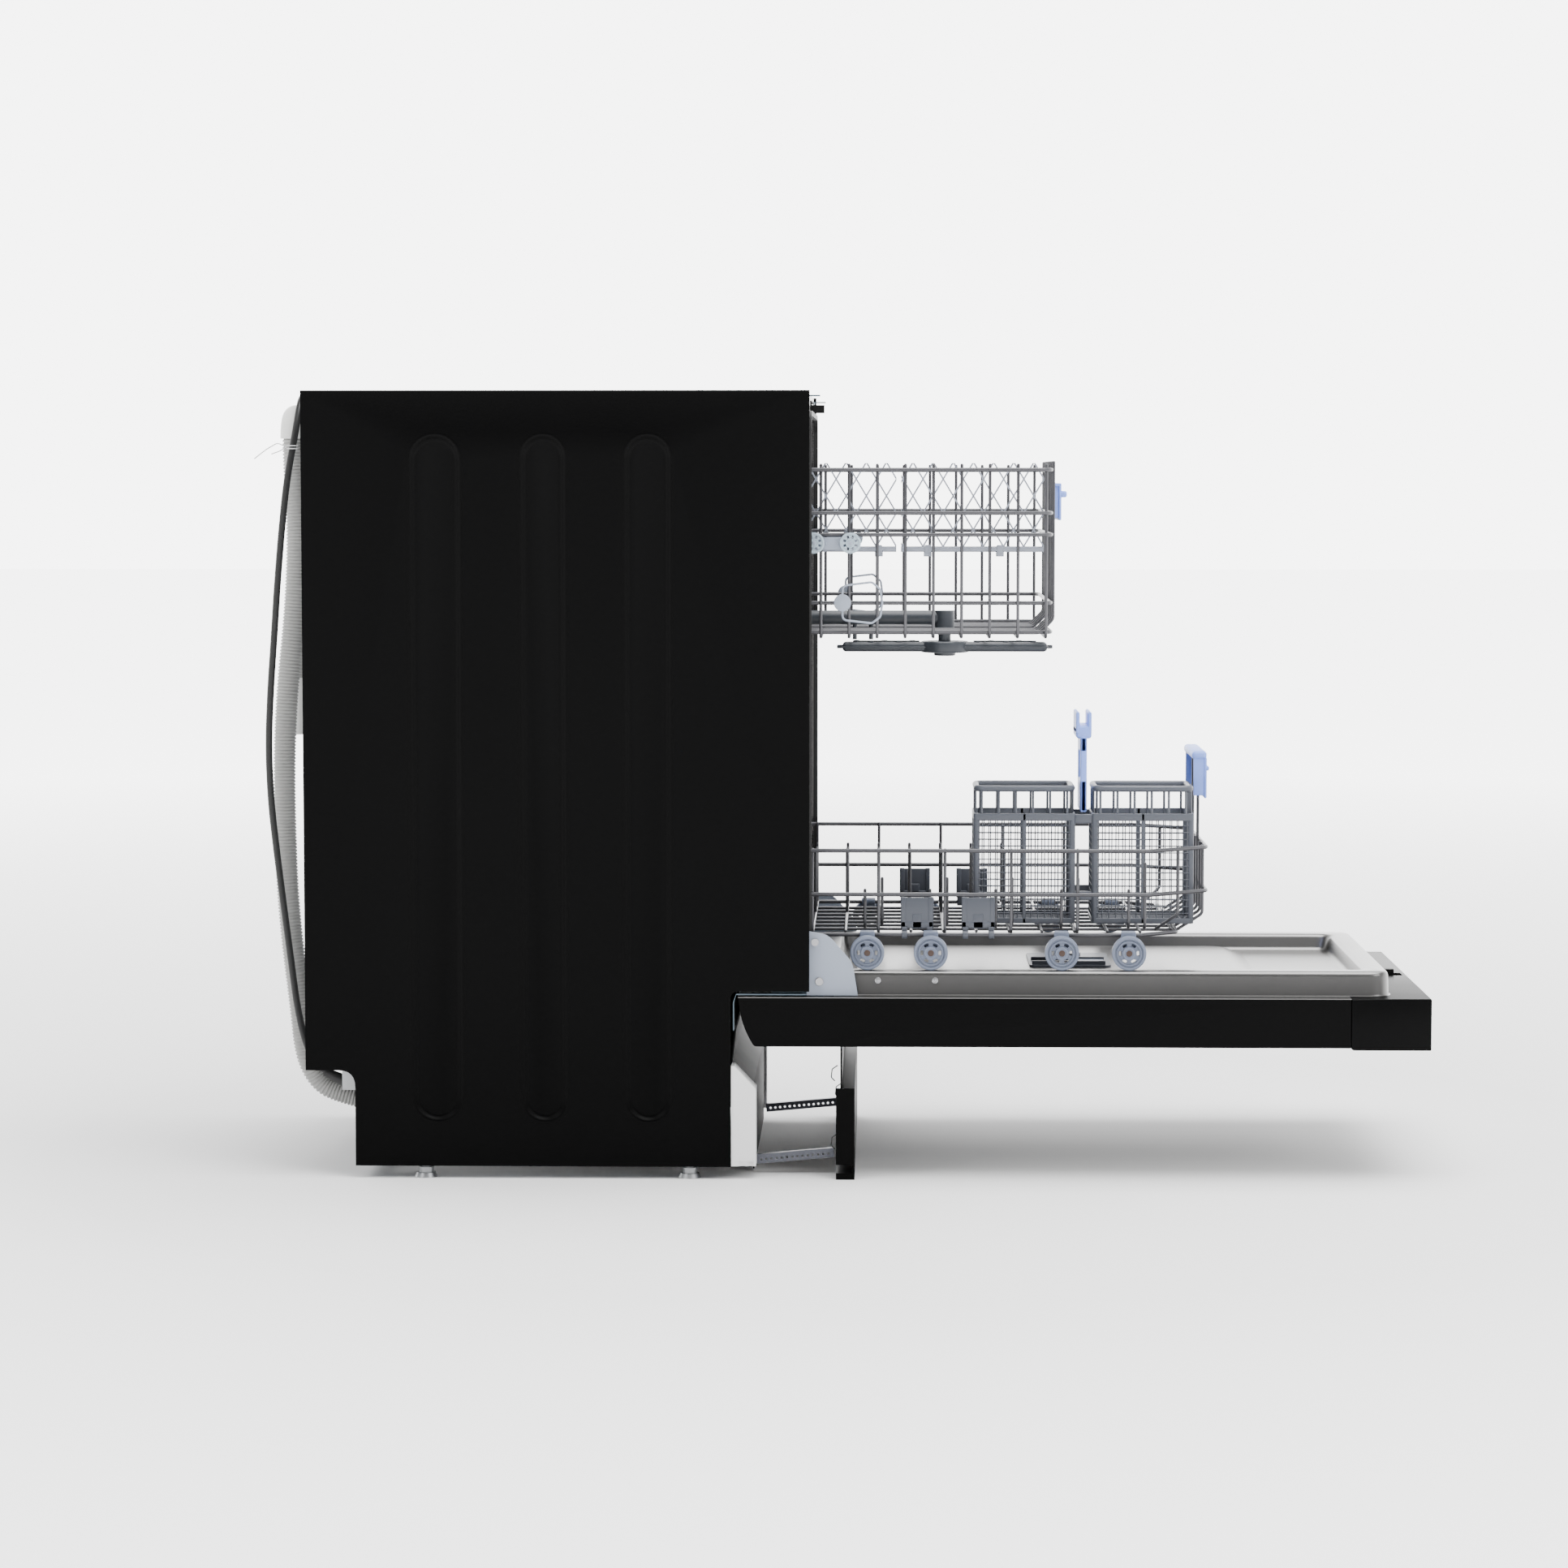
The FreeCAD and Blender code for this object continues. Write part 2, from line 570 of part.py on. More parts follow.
def cup_shelf(y0, y1, tips):
    """Fold-down lattice shelf, standing up against the rack's side."""
    thickness = 2.2
    shapes = [box(SHELF_X, SHELF_X + thickness, y0, y1, SHELF_BAR_Z, SHELF_BAR_Z + 6)]
    height = SHELF_TIP_Z - SHELF_BAR_Z
    lean = DIAMOND_WIDTH / DIAMOND_HEIGHT
    for i in range(-8, tips + 8):
        for side in (-1, 1):
            y_tip = y0 + DIAMOND_WIDTH * (i + 0.5)
            half = STRIP * math.sqrt(1 + lean * lean) / 2
            y_low = y_tip + side * lean * height
            points = [(y_tip - half, SHELF_TIP_Z), (y_tip + half, SHELF_TIP_Z),
                      (y_low + half, SHELF_BAR_Z), (y_low - half, SHELF_BAR_Z)]
            shapes.append(profile_yz(points, SHELF_X, SHELF_X + thickness))
    lattice = fuse(shapes)
    window = box(SHELF_X, SHELF_X + thickness, y0, y1, SHELF_BAR_Z, SHELF_TIP_Z - 1)
    pivot = rod((SHELF_X + thickness / 2, y0, SHELF_BAR_Z + 3), (SHELF_X + thickness / 2, y1, SHELF_BAR_Z + 3), 6)
    return fuse([lattice.common(window), pivot])


def upper_rack_fittings():
    """Wheel bracket plates, their axles and the height clips, on both sides of the rack."""
    x = -UPPER_X - RACK_WIRE / 2 - RACK_RAIL - 0.2
    plate = box(x - 1.6, x, -50, 12, 669.5, 684.8)
    rear_plate = box(x - 1.6, x, 130, 170, 669.5, 684.8)
    shapes = []
    for y in (-43.0, -4.2):
        plate = plate.fuse(cylinder((x - 1.6, y, UPPER_WHEEL_Z), (-1, 0, 0), 2.2, 9.2))
    rear_plate = rear_plate.fuse(cylinder((x - 1.6, 150, UPPER_WHEEL_Z), (-1, 0, 0), 2.2, 9.2))
    shapes += pair(plate) + pair(rear_plate)
    disc = cylinder((x, -34.5, 614.8), (-1, 0, 0), 9.2, 3)
    bail = [(-34.5, 634), (-34.5, 595.5), (-66, 592), (-74, 600), (-76, 614.8), (-74, 629), (-66, 637)]
    outer = profile_yz(bail, x - 2.4, x, [0, 0, 6, 10, 12, 10, 6])
    inner = [(-36.5, 631.6), (-36.5, 598), (-65, 594.6), (-71.6, 601.4), (-73.6, 614.8), (-71.6, 627.6), (-65, 634.4)]
    bail_loop = outer.cut(profile_yz(inner, x - 3, x + 1, [0, 0, 4, 8, 10, 8, 4]))
    shapes += pair(disc.fuse(bail_loop))
    return shapes


def upper_rack_handle():
    front = UPPER_FRONT - RACK_RAIL
    grip = box(-66, 66, front - 9, front - 6, 701.5, 741.8)
    lip = box(-66, 66, front - 15, front - 9, 726, 734)
    top = box(-66, 66, front - 9, front + 1, 738.8, 741.8)
    return fuse([grip, lip, top])


def feed_tube():
    """Carries water from the tub's rear along the rack floor to the upper spray arm."""
    z = UPPER_FLOOR_Z + RACK_WIRE / 2 + RACK_RAIL + 9
    pipe = cylinder((0, -146, z), (0, 1, 0), 8, 352)
    drop = cylinder((0, -146, z + 8), (0, 0, -1), 11, z + 8 - 581.6)
    neck = cylinder((0, -146, z), (0, 0, -1), 7, z - 551.5)
    button_end = cylinder((0, -146, 551.5), (0, 0, 1), 11, 2.6)
    pegs = [cylinder((0, y, 568.8), (0, 0, 1), 2.4, z - 568.8) for y in (-46.5, -64.5)]
    return fuse([pipe, drop, neck, button_end, *pegs])


def upper_spray_arm():
    hub = cylinder((0, -146.3, 554.6), (0, 0, 1), 27, 13)
    blade = rounded_box(-15, 15, -259.8, -32.8, 555, 566.5, 8)
    tips = box(-3, 3, -266, -26.6, 559, 563.4)
    arm = fuse([blade, hub, tips])
    return arm.cut(cylinder((0, -146, 540), (0, 0, 1), 7.4, 40))


def wheel(x, y, z, radius, width, hub):
    """Spoked wheel on a stub axle, its face towards -X."""
    rim = tube((x, y, z), (1, 0, 0), radius, radius * 0.62, width)
    boss = tube((x, y, z), (1, 0, 0), radius * 0.42, hub, width)
    shapes = [rim, boss]
    for i in range(6):
        spoke = box(x + 0.6, x + width - 0.6, y - 0.8, y + 0.8, z + radius * 0.38, z + radius * 0.66)
        spoke.rotate(V(x, y, z), V(1, 0, 0), 60 * i)
        shapes.append(spoke)
    return fuse(shapes)


# ---------------------------------------------------------------- lower rack

def lower_wires():
    return [LOWER_FIRST_WIRE - LOWER_WIRE_PITCH * i for i in range(5)] + [45.0]


def lower_side():
    offset = (RACK_WIRE + RACK_RAIL) / 2 - WELD
    x = -LOWER_X
    shapes = []
    for z in (*LOWER_RAILS, LOWER_FLOOR_Z):
        shapes.append(rod((x, LOWER_CORNER_Y, z), (x, LOWER_BACK - RACK_RAIL / 2, z), RACK_RAIL))
    for y in lower_wires():
        shapes.append(rod((x + offset, y, LOWER_FLOOR_Z - 1), (x + offset, y, 351), RACK_WIRE))
    return fuse(shapes)


def lower_floor():
    """Cross wires and long bearers, with the plate tines standing on them."""
    half = LOWER_X - RACK_RAIL - RACK_WIRE / 2
    back = LOWER_BACK - RACK_RAIL / 2
    shapes = []
    for x in (-140, -110, -40, 20, 80, 140):
        shapes.append(rod((x, -395, LOWER_FLOOR_Z), (x, back, LOWER_FLOOR_Z), RACK_WIRE))
    z = LOWER_FLOOR_Z + RACK_WIRE - WELD
    cross = [-390 + 35.2 * i for i in range(13)]
    for y in cross:
        wide = half if y > LOWER_CORNER_Y else LOWER_FRONT_HALF + 20
        shapes.append(rod((-wide, y, z), (wide, y, z), RACK_WIRE))
    for y in (-59.9, -130.0, -200.9, -271.8, -344.4):
        shapes.append(rod((-150, y + 1, z), (-150, y + 1, 305.2), RACK_WIRE))
        shapes.append(rod((-150, y + 1, z), (-110, y + 1, z), RACK_WIRE))
    for y in (-77.4, -147.9, -218.4, -289.8):
        shapes.append(rod((-126, y, z), (-126, y, 315.6), RACK_WIRE))
        shapes.append(rod((-140, y, z), (-110, y, z), RACK_WIRE))
    for x in (20, 80, 140):
        for y in cross[5:12]:
            shapes.append(rod((x, y, z), (x, y, 330), RACK_WIRE))
    return fuse(shapes)


def slanted(start, end, z_list):
    shapes = [rod((*start, z), (*end, z), RACK_RAIL) for z in z_list]
    middle = ((start[0] + end[0]) / 2, (start[1] + end[1]) / 2)
    shapes.append(rod((*middle, z_list[-1]), (*middle, z_list[0]), RACK_WIRE))
    return fuse(shapes)


def lower_front():
    rails = []
    front = LOWER_FRONT
    for z in LOWER_RAILS:
        rails.append(rod((-LOWER_FRONT_HALF, front, z), (LOWER_FRONT_HALF, front, z), RACK_RAIL))
    for i in range(7):
        x = -111 + 37 * i
        top = HANDLE_SEAT_Z if abs(x) == 37 else 351
        rails.append(rod((x, front + 3.5, 262), (x, front + 3.5, top), RACK_WIRE))
        rails.append(rod((x, front + 3.5, 262), (x, -398, 256.5), RACK_WIRE))
    return fuse(rails)


def lower_rear():
    y = LOWER_BACK
    rails = [rod((-LOWER_X, y, z), (LOWER_X, y, z), RACK_RAIL) for z in (*LOWER_RAILS, LOWER_FLOOR_Z)]
    for i in range(9):
        x = -144 + 36 * i
        rails.append(rod((x, y + 3.5, LOWER_FLOOR_Z), (x, y + 3.5, 351), RACK_WIRE))
    return fuse(rails)


def axle_brackets():
    """Plastic blocks clipped on the bottom rail, each carrying a wheel's stub axle."""
    shapes = []
    for y in LOWER_WHEEL_YS.values():
        x = -LOWER_X
        block = box(x - 6.5, x - 2.3, y - 8, y + 8, LOWER_WHEEL_Z - 8, LOWER_FLOOR_Z + 4)
        axle = cylinder((x - 6.5, y, LOWER_WHEEL_Z), (-1, 0, 0), 3.4, 15.5)
        shapes += pair(fuse([block, axle]))
    return shapes


def lower_rack():
    corner = slanted((-LOWER_X, LOWER_CORNER_Y - 2.6), (-LOWER_FRONT_HALF - 0.5, LOWER_FRONT), LOWER_RAILS)
    return [*pair(lower_side()), lower_floor(), *pair(corner), lower_front(), lower_rear(), *axle_brackets()]


def lower_rack_handle():
    """Blue grip that sits on two tall wires of the rack's front."""
    front = LOWER_FRONT + 3.5 + RACK_WIRE / 2
    grip = box(-64, 64, front - 9.5, front - 7, 397, HANDLE_SEAT_Z)
    top = box(-64, 64, front - 9.5, front + 7, HANDLE_SEAT_Z, 449)
    return fuse([grip, top])


# ---------------------------------------------------------------- cutlery basket

def basket():
    """Two-cell cutlery basket: walls, floor, posts and rounded top bars."""
    x0, x1, y0, y1, z0, z1 = BASKET
    wall = 2.2
    middle = (y0 + y1) / 2
    shell = rounded_box(x0, x1, y0, y1, z0, z1, 9)
    for a, b in ((y0 + wall, middle - 9), (middle + 9, y1 - wall)):
        shell = shell.cut(rounded_box(x0 + wall, x1 - wall, a, b, z0 + wall, z1 + 1, 7))
    parts = [shell]
    for a, b in ((y0, middle - 9), (middle + 9, y1)):
        ring = rounded_box(x0, x1, a, b, 407, 415, 9).cut(rounded_box(x0 + 5, x1 - 5, a + 5, b - 5, 400, 420, 5))
        parts.append(ring)
        for x in (x0 + 1.2, x1 - 3.4):
            for i in range(6):
                y = a + 9 + i * (b - a - 18) / 5
                parts.append(box(x, x + 2.2, y - 1.2, y + 1.2, z1 - 6, 410))
    return fuse(parts)


def basket_handle():
    x0, x1, y0, y1, z0, z1 = BASKET
    middle = (y0 + y1) / 2
    x = (x0 + x1) / 2
    blade = box(x - 33, x + 33, middle - 3.5, middle + 3.5, 385, 466)
    blade = blade.cut(box(x - 24, x + 24, middle - 4, middle + 4, 420, 450))
    horns = box(x - 33, x + 33, middle - 8.5, middle + 8.5, 466, 478)
    prongs = [box(x - 33, x + 33, middle + s * 6.5 - 2, middle + s * 6.5 + 2, 478, 494) for s in (-1, 1)]
    return fuse([blade, horns, *prongs])


# ---------------------------------------------------------------- tub fittings

def lower_spray_arm():
    hub = cylinder((0, TUB_CENTRE_Y, 226), (0, 0, 1), 30, 17)
    blade = rounded_box(-168, 168, TUB_CENTRE_Y - 16, TUB_CENTRE_Y + 16, 229, 240, 9)
    return fuse([hub, blade]).cut(cylinder((0, TUB_CENTRE_Y, 220), (0, 0, 1), 12.4, 15))


def filter_insert():
    cup = tube((0, TUB_CENTRE_Y, 168), (0, 0, 1), 30, 28, 44)
    floor = cylinder((0, TUB_CENTRE_Y, 168), (0, 0, 1), 30, 2)
    lid = cylinder((0, TUB_CENTRE_Y, 212), (0, 0, 1), 54, 3)
    post = cylinder((0, TUB_CENTRE_Y, 215), (0, 0, 1), 12, 18)
    return fuse([cup, floor, lid, post])


def float_cap():
    cap = cylinder((150, 60, 219), (0, 0, 1), 15, 11)
    stem = cylinder((150, 60, 215.3), (0, 0, 1), 4, 4)
    return cap.fuse(stem)


# ---------------------------------------------------------------- hose, cord and their ends

def route_tube(name, route, diameter):
    """A round tube along straight runs joined by arcs as large as the runs allow."""
    points = [V(*p) for p in route]
    radii = [0.0] * len(points)
    for i in range(1, len(points) - 1):
        back = points[i - 1] - points[i]
        ahead = points[i + 1] - points[i]
        turn = math.pi - back.getAngle(ahead)
        radii[i] = 0.45 * min(back.Length, ahead.Length) / math.tan(turn / 2)
    edges = rounded_edges(points, radii, False)
    path = Part.Wire(edges)
    direction = points[1] - points[0]
    ring = Part.Wire(Part.Circle(points[0], direction, diameter / 2).toShape())
    solid = path.makePipeShell([ring], True, False)
    expected = math.pi * diameter ** 2 / 4 * path.Length
    print(name, "length", round(path.Length, 1), "radii", [round(r) for r in radii[1:-1]],
          "volume ratio", round(solid.Volume / expected, 4))
    return solid


def hose_guide():
    """Moulded U-shaped sleeve on the cabinet's back that holds the hose in its high loop."""
    low = GUIDE_TOP - 22
    corners = [(LOOP_X[0], low), (LOOP_X[0], GUIDE_TOP), (LOOP_X[1], GUIDE_TOP), (LOOP_X[1], low)]
    points = [V(x, GUIDE_Y, z) for x, z in corners]
    bend = 0.45 * (LOOP_X[1] - LOOP_X[0])
    path = Part.Wire(rounded_edges(points, [0, bend, bend, 0], False))
    walls = []
    for radius in (HOSE_D / 2 + 2.2, HOSE_D / 2 + 0.4):
        ring = Part.Wire(Part.Circle(points[0], V(0, 0, 1), radius).toShape())
        walls.append(path.makePipeShell([ring], True, False))
    return walls[0].cut(walls[1])


def hose_end():
    """Rubber connector on the hose's free end, bored for the sink's tail piece."""
    outer_radius = 14.0
    bore_radius = 11.0
    length = 62.0
    plug_depth = 20.0
    x, y, z = HOSE_ROUTE[-1]
    solid = cylinder((x, y, z), (0, 0, -1), outer_radius, length)
    return solid.cut(cylinder((x, y, z - plug_depth), (0, 0, -1), bore_radius, length))


def strain_relief():
    """Tapered rubber sleeve between the terminal box and the cord."""
    wide_radius = 7.0
    narrow_radius = 4.6
    length = 26.0
    sunk = 6.0
    start = V(*CORD_ROUTE[0])
    run = (V(*CORD_ROUTE[1]) - start).normalize()
    sleeve = Part.makeCone(wide_radius, narrow_radius, length, start - run * sunk, run)
    sleeve = sleeve.cut(box(-220, -150, 480, TERMINAL_BACK, 80, 130))
    return sleeve.cut(cylinder(tuple(start), tuple(run), CORD_D / 2, 40))


def plug():
    """Moulded three-pin mains plug."""
    x, y, z = CORD_ROUTE[-1]
    grip = Part.makeCone(6, 12, 26, V(x, y, z), V(0, 0, -1))
    head = cylinder((x, y, z - 26), (0, 0, -1), 12, 16)
    blades = [box(x + s * 6.4 - 0.8, x + s * 6.4 + 0.8, y - 3.2, y + 3.2, z - 60, z - 42) for s in (-1, 1)]
    earth = cylinder((x, y + 7.5, z - 42), (0, 0, -1), 2.4, 20)
    return fuse([grip, head, *blades, earth])


def build():
    os.makedirs("parts", exist_ok=True)
    left = side_panel()
    save("left_side_panel", left)
    save("right_side_panel", mirrored(left))
    save("rear_and_top_cover", rear_and_top_cover())
    save("tub", tub())
    save("tub_seal", tub_seal())
    save("base_frame", base_frame())
    save("base_foam", base_foam())
    save("access_panel", access_panel())
    save("mounting_brackets", mounting_brackets())
    save("door_strike", door_strike())
    save("splash_guards", splash_guards())
    save("rack_rails", rack_rails())
    save("hinge_brackets", hinge_brackets())
    save("sump", sump())
    save("wash_pump", wash_pump())
    save("drain_pump", drain_pump())
    save("inlet_valve", inlet_valve())
    save("terminal_box", terminal_box())
    save("door_springs", door_springs())
    save("cabinet_screws", cabinet_screws())
    save("levelling_feet", feet())
    save("toe_kick_lower", toe_kick_lower())
    save("toe_kick_upper", toe_kick_upper())
    save("toe_kick_straps", toe_kick_straps())
    save("door_panel", door_panel())
    save("door_liner", door_liner())
    save("console", console())
    save("button_power", button(BUTTON_XS[0]))
    save("button_start", button(BUTTON_XS[1]))
    save("door_latch", door_latch())
    save("hinge_arms", hinge_arms())
    save("dispenser", dispenser())
    save("dispenser_lid", dispenser_lid())
    save("upper_rack", upper_rack())
    save("cup_shelf_rear", cup_shelf(-92.0, 0.5 + DIAMOND_WIDTH, 5))
    save("cup_shelf_front", cup_shelf(-249.3, -96.8, 7))
    save("upper_rack_fittings", upper_rack_fittings())
    save("upper_rack_handle", upper_rack_handle())
    save("feed_tube", feed_tube())
    save("upper_spray_arm", upper_spray_arm())
    for name, y in UPPER_WHEEL_YS.items():
        save(name, pair(wheel(-197.2, y, UPPER_WHEEL_Z, UPPER_WHEEL_R, 6.5, 2.3)))
    for name, y in LOWER_WHEEL_YS.items():
        save(name, pair(wheel(-196.8, y, LOWER_WHEEL_Z, LOWER_WHEEL_R, 13, 3.5)))
    save("lower_rack", lower_rack())
    save("lower_rack_handle", lower_rack_handle())
    save("basket", basket())
    save("basket_handle", basket_handle())
    save("lower_spray_arm", lower_spray_arm())
    save("filter_insert", filter_insert())
    save("float_cap", float_cap())
    save("drain_hose", route_tube("drain_hose", HOSE_ROUTE, HOSE_D))
    save("hose_guide", hose_guide())
    save("hose_end", hose_end())
    save("power_cord", route_tube("power_cord", CORD_ROUTE, CORD_D))
    save("strain_relief", strain_relief())
    save("plug", plug())


build()
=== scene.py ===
import math

import bpy
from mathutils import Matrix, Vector


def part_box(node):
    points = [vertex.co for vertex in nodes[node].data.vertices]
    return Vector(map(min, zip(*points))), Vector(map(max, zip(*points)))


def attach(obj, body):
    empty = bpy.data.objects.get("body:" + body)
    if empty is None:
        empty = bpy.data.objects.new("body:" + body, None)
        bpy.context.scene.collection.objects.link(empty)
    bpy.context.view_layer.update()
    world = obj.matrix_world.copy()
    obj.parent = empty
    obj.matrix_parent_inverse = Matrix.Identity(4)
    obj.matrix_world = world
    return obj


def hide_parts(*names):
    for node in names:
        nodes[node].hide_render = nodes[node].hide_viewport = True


# Built-in dishwasher. Metres, +Z up, +Y to the back, the open door lies towards -Y.
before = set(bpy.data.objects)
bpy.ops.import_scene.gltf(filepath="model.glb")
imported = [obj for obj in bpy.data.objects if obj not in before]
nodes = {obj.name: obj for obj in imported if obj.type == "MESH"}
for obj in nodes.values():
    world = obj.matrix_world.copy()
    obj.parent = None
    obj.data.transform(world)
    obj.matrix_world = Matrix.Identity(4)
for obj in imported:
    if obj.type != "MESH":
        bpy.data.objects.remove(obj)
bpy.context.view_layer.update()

frontY = 0.0612      # the cabinet's front edge in this frame
halfWidth = -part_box("left_side_panel")[0][0]


def spot(x, y, z):
    # a place measured from the middle of the cabinet's front edge
    return (x, y + frontY, z)


def clearSelection():
    if bpy.context.object and bpy.context.object.mode != 'OBJECT':
        bpy.ops.object.mode_set(mode='OBJECT')
    bpy.ops.object.select_all(action='DESELECT')


def activate(obj):
    clearSelection()
    obj.select_set(True)
    bpy.context.view_layer.objects.active = obj


def settle(obj, name, material, body, replaces=(), angle=40):
    # names the piece, fixes its place in its mesh and lets it ride on its body
    activate(obj)
    bpy.ops.object.transform_apply(location=True, rotation=True, scale=True)
    obj.name = name
    obj.data.name = name
    obj.data.materials.clear()
    obj.data.materials.append(material)
    if angle:
        bpy.ops.object.shade_smooth_by_angle(angle=math.radians(angle))
    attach(obj, body)
    if replaces:
        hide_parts(*replaces)
    return obj


def applyAll(obj):
    activate(obj)
    for modifier in list(obj.modifiers):
        bpy.ops.object.modifier_apply(modifier=modifier.name)


def joinAll(objects):
    clearSelection()
    for obj in objects:
        obj.select_set(True)
    bpy.context.view_layer.objects.active = objects[0]
    bpy.ops.object.join()
    return bpy.context.object


def editAll(obj):
    # edit mode with everything selected
    activate(obj)
    bpy.ops.object.mode_set(mode='EDIT')
    bpy.ops.mesh.select_mode(type='VERT')
    bpy.ops.mesh.select_all(action='SELECT')


def pick(obj, kind, test):
    # edit mode with only the faces or edges that pass a test selected
    activate(obj)
    bpy.ops.object.mode_set(mode='EDIT')
    bpy.ops.mesh.select_mode(type=kind)
    bpy.ops.mesh.select_all(action='DESELECT')
    bpy.ops.object.mode_set(mode='OBJECT')
    for item in (obj.data.polygons if kind == 'FACE' else obj.data.edges):
        item.select = test(item)
    bpy.ops.object.mode_set(mode='EDIT')


def endEdit():
    bpy.ops.mesh.select_mode(type='VERT')
    bpy.ops.object.mode_set(mode='OBJECT')


def copyOf(obj, place):
    # a copy with its own mesh
    copy = obj.copy()
    copy.data = obj.data.copy()
    bpy.context.scene.collection.objects.link(copy)
    copy.location = place
    return copy


def cutAway(obj, cutter):
    cut = obj.modifiers.new("cut", 'BOOLEAN')
    cut.operation = 'DIFFERENCE'
    cut.object = cutter
    applyAll(obj)
    bpy.data.objects.remove(cutter)


def addSheet(obj, thickness):
    # the metal's thickness, inwards from the faces
    sheet = obj.modifiers.new("sheet", 'SOLIDIFY')
    sheet.thickness = thickness
    sheet.offset = -1
    applyAll(obj)


def addBevel(obj, width, segments=3, angle=35):
    bevel = obj.modifiers.new("edge", 'BEVEL')
    bevel.width = width
    bevel.segments = segments
    bevel.limit_method = 'ANGLE'
    bevel.angle_limit = math.radians(angle)
    applyAll(obj)


def addBlock(low, high, bevel=0.0, segments=3):
    # a box between two corners, its edges rounded
    clearSelection()
    centre = [(a + b) / 2 for a, b in zip(low, high)]
    bpy.ops.mesh.primitive_cube_add(size=1, location=centre)
    block = bpy.context.object
    block.scale = [abs(b - a) for a, b in zip(low, high)]
    bpy.ops.object.transform_apply(location=True, rotation=True, scale=True)
    if bevel:
        addBevel(block, bevel, segments)
    return block


def addBlocks(rows, middle=(0, 0, 0)):
    # rows of X, Y and Z from and to, edge radius and edge steps, measured from a middle
    x, y, z = middle
    return [addBlock(spot(x + x0, y + y0, z + z0), spot(x + x1, y + y1, z + z1), edge, steps)
            for x0, x1, y0, y1, z0, z1, edge, steps in rows]


def sideBlock(side, inner, outer, y0, y1, z0, z1, edge):
    # a block on one side, its X given as distances from the middle
    near, far = sorted((side * inner, side * outer))
    return addBlock(spot(near, y0, z0), spot(far, y1, z1), edge)


def addRod(centre, radius, depth, axis='X', vertices=32, bevel=0.0):
    clearSelection()
    turn = {'X': (0, math.pi / 2, 0), 'Y': (math.pi / 2, 0, 0), 'Z': (0, 0, 0)}[axis]
    bpy.ops.mesh.primitive_cylinder_add(radius=radius, depth=depth, location=centre, rotation=turn,
                                        vertices=vertices)
    rod = bpy.context.object
    bpy.ops.object.transform_apply(location=True, rotation=True, scale=True)
    if bevel:
        addBevel(rod, bevel, 3)
    return rod


def roundedPath(points, radius, steps=5):
    # the corners of a bent wire, each turned on an arc
    out = [Vector(points[0])]
    for before, here, after in zip(points, points[1:], points[2:]):
        here = Vector(here)
        back = (Vector(before) - here)
        ahead = (Vector(after) - here)
        turn = math.pi - back.angle(ahead)
        if turn < 0.02:
            out.append(here)
            continue
        reach = min(radius * math.tan(turn / 2), 0.49 * back.length, 0.49 * ahead.length)
        start = here + back.normalized() * reach
        end = here + ahead.normalized() * reach
        for i in range(steps + 1):
            t = i / steps
            out.append(start.lerp(here, t).lerp(here.lerp(end, t), t))
    out.append(Vector(points[-1]))
    return out


# how a wire's open end is domed: distance from the tip in diameters, and its share of the full radius
wireDome = [(0.0, 0.05), (0.06, 0.55), (0.2, 0.87)]


def bendWires(wires, diameter, bendRadius=0.006, domes=True, resolution=3):
    # bent rods, all of one thickness, as one mesh; open ends are domed
    clearSelection()
    bpy.ops.curve.primitive_bezier_curve_add()
    obj = bpy.context.object
    obj.location = (0, 0, 0)
    data = obj.data
    data.splines.clear()
    data.dimensions = '3D'
    data.bevel_depth = diameter / 2
    data.bevel_resolution = resolution
    data.use_fill_caps = True
    for wire in wires:
        closed = wire[0] == 'loop'
        corners = wire[1:] if closed else wire
        if closed:
            middle = Vector(corners[0]).lerp(Vector(corners[-1]), 0.5)
            path = roundedPath([middle, *corners, middle], bendRadius)[:-1]
        else:
            path = roundedPath(corners, bendRadius)
        radii = [1.0] * len(path)
        if domes and not closed:
            # each end in turn: the start is domed, then the path is turned round
            for end in range(2):
                tip = path[0].copy()
                inward = (path[1] - tip).normalized() * diameter
                path[0] = tip + inward * 0.5
                path = [tip + inward * along for along, share in wireDome] + path
                radii = [share for along, share in wireDome] + radii
                path.reverse()
                radii.reverse()
        spline = data.splines.new('POLY')
        spline.points.add(len(path) - 1)
        spline.use_cyclic_u = closed
        for point, place, r in zip(spline.points, path, radii):
            point.co = (*place, 1)
            point.radius = r
    bpy.ops.object.convert(target='MESH')
    return bpy.context.object


class Value:
    # a socket that can be used in sums
    def __init__(self, paint, socket):
        self.paint = paint
        self.socket = socket

    def sum(self, operation, first, second):
        return self.paint.node('ShaderNodeMath', {'operation': operation}, {0: first, 1: second})

    def __add__(self, other):
        return self.sum('ADD', self, other)

    def __radd__(self, other):
        return self.sum('ADD', other, self)

    def __mul__(self, other):
        return self.sum('MULTIPLY', self, other)

    def __rmul__(self, other):
        return self.sum('MULTIPLY', other, self)


